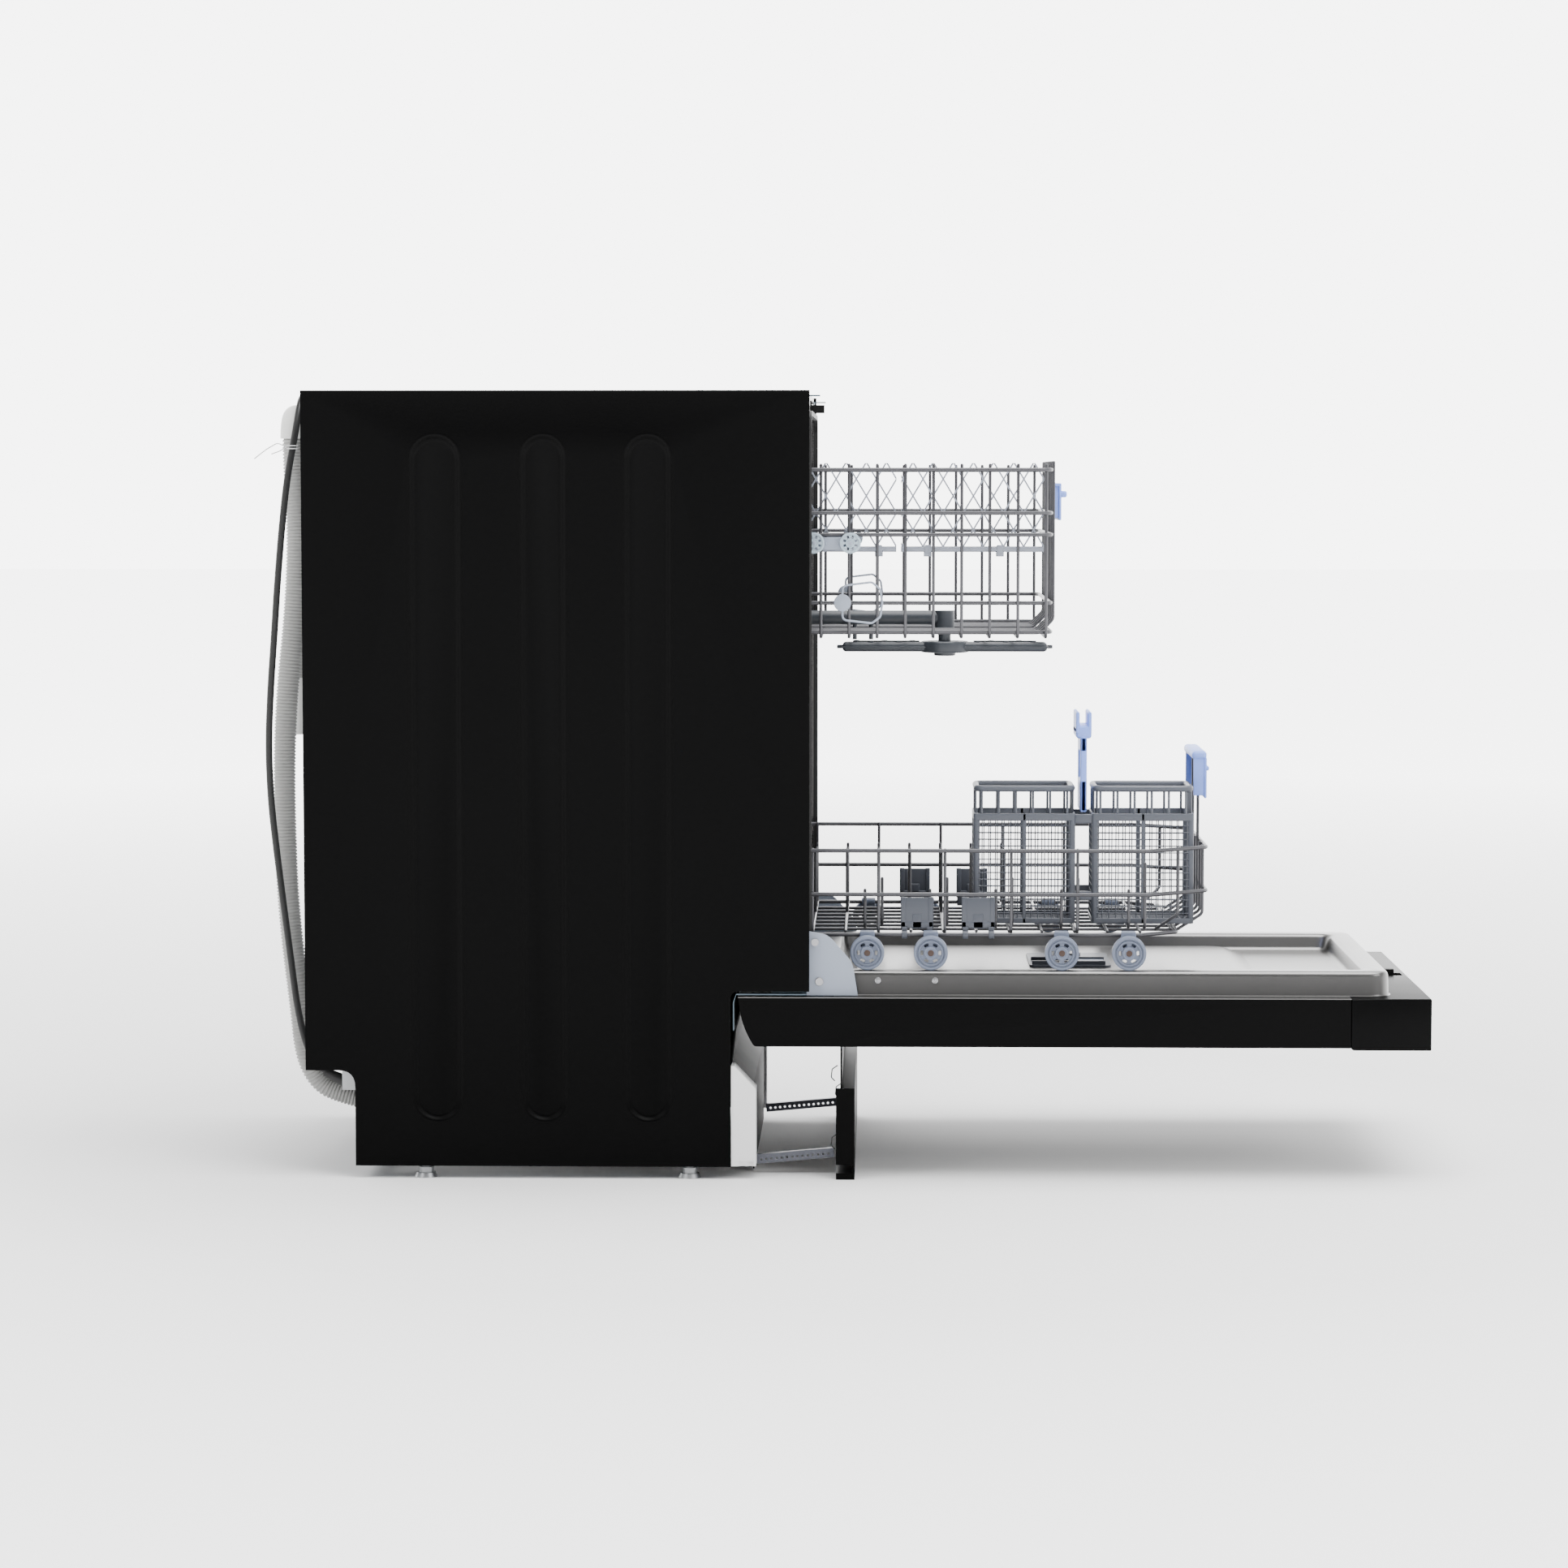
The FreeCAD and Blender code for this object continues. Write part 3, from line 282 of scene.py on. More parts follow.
class Finish:
    # one material and its nodes
    def __init__(self, name, **settings):
        self.material = bpy.data.materials.new(name)
        self.material.use_nodes = True
        self.tree = self.material.node_tree
        self.shader = self.tree.nodes['Principled BSDF']
        for key, value in settings.items():
            self.shader.inputs[key.replace('_', ' ')].default_value = value

    def node(self, kind, settings=None, inputs=None, output=0):
        # any node: its type, its settings, and the values or links of its sockets
        made = self.tree.nodes.new(kind)
        for key, value in (settings or {}).items():
            if key == 'stops':
                ramp = made.color_ramp
                while len(ramp.elements) < len(value):
                    ramp.elements.new(0.5)
                for element, (place, colour) in zip(ramp.elements, value):
                    element.position = place
                    element.color = (*colour, 1) if len(colour) == 3 else colour
            else:
                setattr(made, key, value)
        for key, value in (inputs or {}).items():
            if isinstance(value, Value):
                self.tree.links.new(value.socket, made.inputs[key])
            else:
                made.inputs[key].default_value = value
        return Value(self, made.outputs[output])

    def feed(self, socket, value):
        self.tree.links.new(value.socket, self.shader.inputs[socket])

    def place(self, scale=(1, 1, 1)):
        coordinates = self.node('ShaderNodeTexCoord', output=3)
        return self.node('ShaderNodeMapping', None, {'Vector': coordinates, 'Scale': scale})

    def noise(self, scale, stretch=(1, 1, 1), detail=3.0, rough=0.5):
        return self.node('ShaderNodeTexNoise', None,
                         {'Vector': self.place(stretch), 'Scale': scale,
                          'Detail': detail, 'Roughness': rough})

    def vary(self, colour, other, mask):
        return self.node('ShaderNodeMix', {'data_type': 'RGBA'},
                         {0: mask, 6: (*colour, 1), 7: (*other, 1)}, output=2)

    def bump(self, height, strength, distance):
        self.feed('Normal', self.node('ShaderNodeBump', None,
                                      {'Strength': strength, 'Distance': distance, 'Height': height}))


def shade(colour, factor):
    return tuple(min(1.0, channel * factor) for channel in colour)


def blackPaint(name, colour=(0.0004, 0.0004, 0.00045), roughness=0.42):
    # powder coat: fine orange peel and faint handling marks
    f = Finish(name, Specular_IOR_Level=0.055)
    peel = f.noise(900, detail=2)
    cloud = f.noise(7, detail=4)
    f.feed('Base Color', f.vary(shade(colour, 0.85), shade(colour, 1.25), cloud))
    f.feed('Roughness', roughness - 0.05 + 0.1 * cloud)
    f.bump(peel, 0.12, 0.0002)
    return f.material


def brightSteel(name, stretch, colour=(0.2, 0.198, 0.195), roughness=0.24):
    # rolled stainless sheet: long hairlines and soft cloudy wear
    f = Finish(name, Metallic=1.0)
    grain = f.noise(220, stretch, detail=2)
    cloud = f.noise(6, detail=3)
    f.feed('Base Color', f.vary(shade(colour, 0.93), shade(colour, 1.05), grain * 0.6 + cloud * 0.4))
    f.feed('Roughness', roughness - 0.05 + 0.09 * grain + 0.05 * cloud)
    f.bump(grain, 0.015, 0.0002)
    return f.material


def zincSheet(name, light, dark, roughness=0.42):
    # galvanised spangle: crystal patches of slightly different grey
    f = Finish(name, Metallic=0.85)
    flakes = f.node('ShaderNodeTexVoronoi', None, {'Vector': f.place(), 'Scale': 70.0}, output=0)
    grey = f.node('ShaderNodeRGBToBW', None, {'Color': flakes})
    cloud = f.noise(9, detail=4)
    f.feed('Base Color', f.vary(dark, light, grey * 0.5 + cloud * 0.5))
    f.feed('Roughness', roughness - 0.08 + 0.16 * grey)
    f.bump(cloud, 0.05, 0.0008)
    return f.material


def mouldedPlastic(name, colour, roughness=0.42, texture=700, strength=0.1, depth=0.00015, specular=0.4):
    # moulded part: fine tool texture, flow shading and small gloss changes
    f = Finish(name, Specular_IOR_Level=specular)
    texel = f.noise(texture, detail=2)
    flow = f.noise(18, detail=3)
    f.feed('Base Color', f.vary(shade(colour, 0.94), shade(colour, 1.05), flow))
    f.feed('Roughness', roughness - 0.05 + 0.1 * flow)
    f.bump(texel, strength, depth)
    return f.material


def dippedWire(name, colour=(0.06, 0.06, 0.067), roughness=0.3):
    # nylon dipped wire: smooth, slightly uneven coat
    f = Finish(name, Metallic=0.3, Specular_IOR_Level=0.5)
    flow = f.noise(60, detail=2)
    f.feed('Base Color', f.vary(shade(colour, 0.88), shade(colour, 1.12), flow))
    f.feed('Roughness', roughness - 0.05 + 0.12 * flow)
    f.bump(flow, 0.12, 0.0004)
    return f.material


def beadFoam(name, colour=(0.86, 0.86, 0.86)):
    # moulded bead foam: the outlines of pressed beads
    f = Finish(name, Roughness=0.8, Specular_IOR_Level=0.25)
    beads = f.node('ShaderNodeTexVoronoi', {'feature': 'DISTANCE_TO_EDGE'},
                   {'Vector': f.place(), 'Scale': 260.0})
    cloud = f.noise(20)
    f.feed('Base Color', f.vary(shade(colour, 0.97), shade(colour, 1.03), cloud))
    f.bump(beads, 0.15, 0.0006)
    return f.material


def softRubber(name, colour, roughness=0.5):
    # rubber and lacquer: a little dust in the surface
    f = Finish(name, Specular_IOR_Level=0.35)
    dust = f.noise(120, detail=4)
    f.feed('Base Color', f.vary(shade(colour, 0.9), shade(colour, 1.25), dust))
    f.feed('Roughness', roughness - 0.06 + 0.16 * dust)
    f.bump(dust, 0.06, 0.0003)
    return f.material


print("finishes")
finishes = {
    'panelBlack': blackPaint('panelBlack'),
    'consoleBlack': blackPaint('consoleBlack', (0.0016, 0.0016, 0.0017), 0.38),
    'linerSteel': brightSteel('linerSteel', (12, 0.6, 12), (0.16, 0.158, 0.156), 0.3),
    'tubSteel': brightSteel('tubSteel', (1, 1, 12), (0.2, 0.197, 0.193), 0.26),
    'zincGrey': zincSheet('zincGrey', (0.42, 0.43, 0.44), (0.3, 0.31, 0.32)),
    'zincBlue': zincSheet('zincBlue', (0.1, 0.135, 0.165), (0.065, 0.09, 0.11), 0.4),
    'strapZinc': zincSheet('strapZinc', (0.14, 0.145, 0.17), (0.09, 0.095, 0.11), 0.42),
    'blockFoam': beadFoam('blockFoam'),
    'accessBlack': mouldedPlastic('accessBlack', (0.004, 0.004, 0.004), 0.55, specular=0.15),
    'iceNylon': mouldedPlastic('iceNylon', (0.28, 0.315, 0.385), 0.42),
    'wheelNylon': mouldedPlastic('wheelNylon', (0.14, 0.165, 0.23), 0.4),
    'wheelPale': mouldedPlastic('wheelPale', (0.33, 0.41, 0.47), 0.35),
    'basketGrey': mouldedPlastic('basketGrey', (0.07, 0.077, 0.095), 0.42),
    'armGrey': mouldedPlastic('armGrey', (0.035, 0.04, 0.048), 0.4),
    'handleBlue': mouldedPlastic('handleBlue', (0.2, 0.31, 0.8), 0.42),
    'latticePale': mouldedPlastic('latticePale', (0.24, 0.26, 0.31), 0.42),
    'rackCoat': dippedWire('rackCoat'),
    'sealBlack': softRubber('sealBlack', (0.012, 0.012, 0.012)),
    'cordBlack': softRubber('cordBlack', (0.008, 0.008, 0.008), 0.45),
    'hoseGrey': mouldedPlastic('hoseGrey', (0.3, 0.3, 0.29), 0.48),
    'guideWhite': mouldedPlastic('guideWhite', (0.62, 0.62, 0.6), 0.48),
    'tieWhite': mouldedPlastic('tieWhite', (0.5, 0.5, 0.5), 0.5),
    'screwSteel': brightSteel('screwSteel', (1, 1, 1), (0.3, 0.3, 0.31), 0.28),
    'motorDark': softRubber('motorDark', (0.05, 0.05, 0.055), 0.4),
    'axleBrown': softRubber('axleBrown', (0.05, 0.028, 0.02), 0.4),
    'springWire': dippedWire('springWire', (0.05, 0.05, 0.052), 0.3),
}

# which finish each node that keeps its own shape gets
nodeFinish = {
    'panelBlack': ['left_side_panel', 'right_side_panel', 'toe_kick_lower', 'toe_kick_upper', 'door_panel'],
    'consoleBlack': ['console', 'button_power', 'button_start'],
    'tubSteel': ['tub', 'rack_rails', 'filter_insert'],
    'linerSteel': ['door_liner'],
    'zincGrey': ['rear_and_top_cover', 'terminal_box', 'hinge_arms', 'levelling_feet'],
    'zincBlue': ['base_frame', 'mounting_brackets', 'hinge_brackets'],
    'strapZinc': ['toe_kick_straps'],
    'blockFoam': ['base_foam', 'inlet_valve'],
    'accessBlack': ['access_panel', 'door_strike', 'door_latch', 'drain_pump'],
    'iceNylon': ['splash_guards', 'upper_rack_fittings', 'dispenser_lid'],
    'wheelPale': ['upper_wheels_front', 'upper_wheels_middle', 'upper_wheels_rear'],
    'wheelNylon': ['lower_wheels_1', 'lower_wheels_2', 'lower_wheels_3', 'lower_wheels_4'],
    'basketGrey': ['basket', 'sump', 'dispenser', 'float_cap'],
    'armGrey': ['upper_spray_arm', 'lower_spray_arm', 'feed_tube'],
    'handleBlue': ['upper_rack_handle', 'lower_rack_handle', 'basket_handle'],
    'latticePale': ['cup_shelf_front', 'cup_shelf_rear'],
    'rackCoat': ['upper_rack', 'lower_rack'],
    'sealBlack': ['tub_seal', 'strain_relief'],
    'cordBlack': ['power_cord', 'plug'],
    'hoseGrey': ['drain_hose'],
    'guideWhite': ['hose_guide', 'hose_end'],
    'screwSteel': ['cabinet_screws', 'door_springs'],
    'motorDark': ['wash_pump'],
}
for finishName, members in nodeFinish.items():
    for member in members:
        for slot in nodes[member].material_slots:
            slot.material = finishes[finishName]


print("camera and light")
cameraSettings = {'place': (-4.6558, -0.0793, 0.7467), 'aim': (0.99707, 0.02390, -0.07267), 'lens': 96.15}


def addCamera():
    data = bpy.data.cameras.new("camera")
    data.lens = cameraSettings['lens']
    data.sensor_width = 36
    data.clip_end = 60
    camera = bpy.data.objects.new("camera", data)
    camera.location = spot(*cameraSettings['place'])
    camera.rotation_euler = Vector(cameraSettings['aim']).to_track_quat('-Z', 'Y').to_euler()
    bpy.context.scene.collection.objects.link(camera)
    bpy.context.scene.camera = camera


studio = {
    'floor': (0.9, 0.9, 0.9), 'sky': (1.0, 1.0, 1.0),
    'skyNear': 0.45, 'skyFar': 6.5,     # brightness at the camera's side and behind the object
    'skyTop': 0.22,                     # share of it overhead
    'fadeFrom': 0.9, 'fadeTo': 6.0, 'fadeLight': 4.6,   # metres from the middle, and the white's strength
    'lamps': [
        # place, aim, width, height, watts
        ((-0.4, -0.6, 3.6), (-0.2, -0.1, 0.0), 3.6, 3.0, 330),
        ((-2.6, -2.6, 2.4), (0, -0.3, 0.3), 1.6, 1.0, 45),
        ((-1.8, 2.4, 2.2), (0, 0.5, 0.4), 1.4, 1.6, 35),
    ],
}


def addStudio():
    clearSelection()
    bpy.ops.mesh.primitive_plane_add(size=60, location=(0, 0, 0))
    floor = bpy.context.object
    floor.name = "studioFloor"
    paint = Finish("floorPaint", Roughness=0.9, Specular_IOR_Level=0.1)
    grain = paint.noise(40)
    tone = studio['floor']
    paint.feed('Base Color', paint.vary(shade(tone, 0.995), shade(tone, 1.005), grain))
    # the floor fades to white away from the object
    far = paint.node('ShaderNodeVectorMath', {'operation': 'LENGTH'},
                     {0: paint.node('ShaderNodeTexCoord', output=3)}, output=1)
    fade = paint.node('ShaderNodeMapRange', None,
                      {'Value': far, 'From Min': studio['fadeFrom'], 'From Max': studio['fadeTo']})
    paint.feed('Emission Color', paint.vary((0, 0, 0), (1, 1, 1), fade))
    paint.shader.inputs['Emission Strength'].default_value = studio['fadeLight']
    floor.data.materials.append(paint.material)
    world = bpy.data.worlds.new("studioSky")
    bpy.context.scene.world = world
    world.use_nodes = True
    tree = world.node_tree
    sky = tree.nodes['Background']
    sky.inputs['Color'].default_value = (*studio['sky'], 1)
    direction = tree.nodes.new('ShaderNodeTexCoord')
    parts = tree.nodes.new('ShaderNodeSeparateXYZ')
    tree.links.new(direction.outputs['Generated'], parts.inputs[0])
    both = tree.nodes.new('ShaderNodeMath')
    both.operation = 'MULTIPLY'
    ramps = (('X', -0.5, 0.9, studio['skyNear'], studio['skyFar']), ('Z', 0.2, 0.75, 1.0, studio['skyTop']))
    for i, (axis, fromLow, fromHigh, toLow, toHigh) in enumerate(ramps):
        ramp = tree.nodes.new('ShaderNodeMapRange')
        tree.links.new(parts.outputs[axis], ramp.inputs['Value'])
        ramp.inputs['From Min'].default_value = fromLow
        ramp.inputs['From Max'].default_value = fromHigh
        ramp.inputs['To Min'].default_value = toLow
        ramp.inputs['To Max'].default_value = toHigh
        tree.links.new(ramp.outputs[0], both.inputs[i])
    tree.links.new(both.outputs[0], sky.inputs['Strength'])
    for i, (place, aim, width, height, watts) in enumerate(studio['lamps']):
        data = bpy.data.lights.new(f"lamp{i}", 'AREA')
        data.shape = 'RECTANGLE'
        data.size = width
        data.size_y = height
        data.energy = watts
        lamp = bpy.data.objects.new(f"lamp{i}", data)
        lamp.location = place
        lamp.rotation_euler = (Vector(aim) - Vector(place)).to_track_quat('-Z', 'Y').to_euler()
        bpy.context.scene.collection.objects.link(lamp)


addCamera()
addStudio()


hose = {
    'diameter': 0.024, 'length': 1.085, 'sides': 28, 'pitch': 0.0036,
    # the groove's share of the radius, and the shares of the pitch that groove, rise, crest and fall take
    'groove': 0.9, 'valley': 0.22, 'rise': 0.16, 'crest': 0.42, 'fall': 0.20,
}
# the hose's middle line from the base, up over the guide and down to its connector
hoseRoute = [
    (-0.150, 0.487, 0.076), (-0.150, 0.509, 0.081), (-0.150, 0.533, 0.092), (-0.150, 0.549, 0.122),
    (-0.150, 0.554, 0.176), (-0.150, 0.561, 0.233), (-0.150, 0.5665, 0.293), (-0.150, 0.5685, 0.353),
    (-0.150, 0.5695, 0.413), (-0.149, 0.5685, 0.473), (-0.148, 0.5645, 0.533), (-0.147, 0.558, 0.593),
    (-0.146, 0.554, 0.653), (-0.145, 0.5535, 0.708), (-0.145, 0.557, 0.762), (-0.145, 0.557, 0.812),
    (-0.097, 0.557, 0.812), (-0.097, 0.557, 0.762), (-0.095, 0.5545, 0.704), (-0.092, 0.558, 0.644),
    (-0.086, 0.562, 0.584), (-0.086, 0.562, 0.530),
]
cord = {'diameter': 0.0075, 'length': 1.4}
# the cord's middle line from the strain relief, over the guide and down to its plug
cordRoute = [
    (-0.185, 0.505, 0.1002), (-0.1843, 0.528, 0.111), (-0.1825, 0.543, 0.134), (-0.181, 0.553, 0.176),
    (-0.180, 0.5595, 0.228), (-0.180, 0.567, 0.288), (-0.180, 0.574, 0.346), (-0.180, 0.580, 0.402),
    (-0.180, 0.582, 0.460), (-0.180, 0.5795, 0.518), (-0.180, 0.575, 0.576), (-0.180, 0.571, 0.634),
    (-0.179, 0.566, 0.692), (-0.177, 0.560, 0.748), (-0.172, 0.551, 0.798), (-0.149, 0.548, 0.836),
    (-0.093, 0.548, 0.836), (-0.052, 0.551, 0.800), (-0.036, 0.552, 0.746), (-0.028, 0.552, 0.688),
    (-0.029, 0.552, 0.628), (-0.028, 0.552, 0.568), (-0.0285, 0.552, 0.508), (-0.0275, 0.552, 0.448),
    (-0.029, 0.552, 0.388), (-0.028, 0.552, 0.328), (-0.028, 0.552, 0.270),
]


def routeCurve(name, route, diameter=0.0, resolution=12):
    data = bpy.data.curves.new(name, 'CURVE')
    data.dimensions = '3D'
    spline = data.splines.new('NURBS')
    spline.points.add(len(route) - 1)
    for point, place in zip(spline.points, route):
        point.co = (*spot(*place), 1)
    spline.order_u = 3
    spline.use_endpoint_u = True
    spline.resolution_u = resolution
    data.resolution_u = resolution
    data.bevel_depth = diameter / 2
    data.bevel_resolution = 6
    data.use_fill_caps = True
    curve = bpy.data.objects.new(name, data)
    bpy.context.scene.collection.objects.link(curve)
    return curve


def pathOf(curve):
    # the points of a curve's own smooth line, each one once
    mesh = bpy.data.meshes.new_from_object(curve)
    points = [mesh.vertices[0].co.copy()]
    for vertex in mesh.vertices:
        if (vertex.co - points[-1]).length > 1e-4:
            points.append(vertex.co.copy())
    bpy.data.meshes.remove(mesh)
    return points


def ribbedHose():
    # one rib turned up from an open ring, repeated and bent along the route
    line = routeCurve("hoseLine", hoseRoute, resolution=24)
    line.data.twist_mode = 'MINIMUM'
    path = pathOf(line)
    run = sum((b - a).length for a, b in zip(path, path[1:]))
    pitch, outer = hose['pitch'], hose['diameter'] / 2
    low = outer * hose['groove']
    at = pitch * hose['valley']
    clearSelection()
    bpy.ops.mesh.primitive_cylinder_add(radius=low, depth=at, vertices=hose['sides'], end_fill_type='NOTHING',
                                        location=(at / 2, 0, 0), rotation=(0, math.pi / 2, 0))
    rib = bpy.context.object
    bpy.ops.object.transform_apply(location=True, rotation=True, scale=True)
    pick(rib, 'EDGE', lambda edge: all(rib.data.vertices[v].co.x > at * 0.9 for v in edge.vertices))
    end = at
    for step, size in ((hose['rise'], outer / low), (hose['crest'], 1.0), (hose['fall'], low / outer)):
        bpy.ops.mesh.extrude_region_move(TRANSFORM_OT_translate={'value': (pitch * step, 0, 0)})
        end += pitch * step
        bpy.ops.transform.resize(value=(1, size, size), center_override=(end, 0, 0))
    endEdit()
    count = int(run / pitch)
    ribs = rib.modifiers.new("ribs", 'ARRAY')
    ribs.count = count
    ribs.use_relative_offset = False
    ribs.use_constant_offset = True
    ribs.constant_offset_displace = (run / count, 0, 0)
    ribs.use_merge_vertices = True
    ribs.merge_threshold = pitch * 0.15
    bend = rib.modifiers.new("route", 'CURVE')
    bend.object = line
    bend.deform_axis = 'POS_X'
    applyAll(rib)
    bpy.data.objects.remove(line)
    editAll(rib)
    bpy.ops.mesh.fill_holes(sides=0)
    bpy.ops.mesh.normals_make_consistent(inside=False)
    endEdit()
    settle(rib, "ribbedHose", finishes['hoseGrey'], "cabinet", ["drain_hose"], angle=70)
    spot(*hoseRoute[0])


def mainsCord():
    curve = routeCurve("mainsCord", cordRoute, cord['diameter'])
    curve.data.materials.append(finishes['cordBlack'])
    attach(curve, "cabinet")
    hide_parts("power_cord")
    spot(*cordRoute[0])


sidePanel = {
    'corners': [(0, 0.840), (0, 0.202), (0.084, 0.202), (0.084, 0.0134), (0.4855, 0.0134),
                (0.4855, 0.116), (0.5386, 0.116), (0.5386, 0.840)],
    'radii': [0, 0, 0.009, 0, 0, 0.018, 0, 0],
    'grooves': [(0.1434, 0.1991), (0.2549, 0.3090), (0.3665, 0.4267)],
    'grooveLow': 0.0585, 'grooveHigh': 0.7963,
    # how far in and how deep each step of a groove is pressed
    'press': [(0.0012, 0.00025), (0.0016, 0.0003), (0.0016, -0.0006), (0.0014, -0.0012),
              (0.0014, -0.0012), (0.0014, -0.0007), (0.0014, -0.0002)],
    'sheet': 0.001,
}


def filledShape(loops, level=None):
    # a flat face whose first loop is the rim and the others are holes
    # it stands in the Y-Z plane, or lies at a level when one is given
    clearSelection()
    turn = (math.pi / 2, 0, math.pi / 2) if level is None else (0, 0, 0)
    bpy.ops.curve.primitive_bezier_circle_add(location=(0, 0, level or 0), rotation=turn)
    shape = bpy.context.object
    shape.data.splines.clear()
    shape.data.dimensions = '2D'
    shape.data.fill_mode = 'BOTH'
    for loop in loops:
        spline = shape.data.splines.new('POLY')
        spline.points.add(len(loop) - 1)
        spline.use_cyclic_u = True
        for point, (across, along) in zip(spline.points, loop):
            point.co = (across, along, 0, 1)
    bpy.ops.object.convert(target='MESH')
    flat = bpy.context.object
    bpy.ops.object.transform_apply(location=True, rotation=True, scale=True)
    return flat


def roundLoop(corners, radii, steps=6):
    # a closed outline whose corners are turned on arcs
    out = []
    for i, (here, radius) in enumerate(zip(corners, radii)):
        before, after = Vector(corners[i - 1]), Vector(corners[(i + 1) % len(corners)])
        here = Vector(here)
        if not radius:
            out.append(tuple(here))
            continue
        start = here + (before - here).normalized() * radius
        end = here + (after - here).normalized() * radius
        for k in range(steps + 1):
            t = k / steps
            out.append(tuple(start.lerp(here, t).lerp(here.lerp(end, t), t)))
    return out


def stadium(y0, y1, z0, z1, steps=14):
    # the outline of an upright groove with round ends
    radius = (y1 - y0) / 2
    middle = (y0 + y1) / 2
    out = []
    for turn, centre in ((1, z1 - radius), (-1, z0 + radius)):
        for k in range(steps + 1):
            angle = math.pi * k / steps
            out.append((middle + turn * radius * math.cos(angle), centre + turn * radius * math.sin(angle)))
    return out


def faceTowards(obj, axis, sign):
    # the faces agree, and the largest one looks along the axis
    editAll(obj)
    bpy.ops.mesh.normals_make_consistent(inside=False)
    endEdit()
    biggest = max(obj.data.polygons, key=lambda face: face.area)
    if biggest.normal[axis] * sign < 0:
        editAll(obj)
        bpy.ops.mesh.flip_normals()
        endEdit()


def sidePanels():
    s = sidePanel
    holes = [stadium(y0, y1, s['grooveLow'], s['grooveHigh']) for y0, y1 in s['grooves']]
    parts = [filledShape([roundLoop(s['corners'], s['radii']), *holes])]
    for hole in holes:
        groove = filledShape([hole])
        editAll(groove)
        bpy.ops.mesh.remove_doubles(threshold=1e-6)
        bpy.ops.mesh.dissolve_limited(angle_limit=0.01)
        bpy.ops.mesh.select_all(action='SELECT')
        for thickness, depth in s['press']:
            bpy.ops.mesh.inset(thickness=thickness, depth=depth)
        endEdit()
        parts.append(groove)
    panel = joinAll(parts)
    editAll(panel)
    bpy.ops.mesh.remove_doubles(threshold=2e-6)
    endEdit()
    for side, name, node in ((1, 'rightPanel', 'right_side_panel'), (-1, 'leftPanel', 'left_side_panel')):
        copy = copyOf(panel, (halfWidth * side, frontY, 0))
        copy.scale = (side, 1, 1)
        activate(copy)
        bpy.ops.object.transform_apply(location=True, rotation=True, scale=True)
        faceTowards(copy, 0, side)
        addSheet(copy, s['sheet'])
        settle(copy, name, finishes['panelBlack'], 'cabinet', [node], angle=35)
    bpy.data.objects.remove(panel)


upperRack = {
    'side': 0.1804, 'front': -0.2572, 'back': 0.2092, 'wire': 0.0034, 'rail': 0.0044, 'lay': 0.0035,
    'firstWire': -0.2516, 'pitch': 0.03002, 'wires': 16, 'tops': 0.763, 'floor': 0.5778,
    'longPitch': 0.036, 'longEachSide': 4, 'kneeHigh': 0.596, 'kneeIn': 0.015, 'frontRise': 0.003,
    'outerRails': (0.7565, 0.7104, 0.6874), 'innerRails': (0.6145, 0.5833),
    'wireBend': 0.009, 'railBend': 0.016,
}


def loopWire(x0, x1, y0, y1, z):
    # a closed four-cornered wire at one height
    return ['loop', spot(x0, y0, z), spot(x1, y0, z), spot(x1, y1, z), spot(x0, y1, z)]


def upperBasket():
    r = upperRack
    side, lay = r['side'], r['lay']
    thin = []
    for i in range(r['wires']):
        y = r['firstWire'] + i * r['pitch']
        thin.append([spot(-side, y, r['tops']), spot(-side, y, r['floor']),
                     spot(side, y, r['floor']), spot(side, y, r['tops'])])
    front, back = r['front'] - lay, r['back'] + lay
    bearer = r['floor'] + lay
    for i in range(-r['longEachSide'], r['longEachSide'] + 1):
        x = r['longPitch'] * i
        frontTop, backTop = spot(x, front, r['tops'] + r['frontRise']), spot(x, back, r['tops'])
        if i:
            thin.append([frontTop, spot(x, front, r['kneeHigh']), spot(x, front + r['kneeIn'], bearer),
                         spot(x, back - r['kneeIn'], bearer), spot(x, back, r['kneeHigh']), backTop])
        else:
            # the middle wires end above the feed tube
            thin.append([frontTop, spot(x, front, r['innerRails'][1])])
            thin.append([backTop, spot(x, back, r['innerRails'][1])])
    thick = []
    for rails, reach in ((r['outerRails'], side + lay), (r['innerRails'], side - lay)):
        thick += [loopWire(-reach, reach, r['front'], r['back'], z) for z in rails]
    wires = bendWires(thin, r['wire'], r['wireBend'])
    rails = bendWires(thick, r['rail'], r['railBend'])
    settle(joinAll([wires, rails]), 'upperBasketWires', finishes['rackCoat'], 'upper_basket', ['upper_rack'])


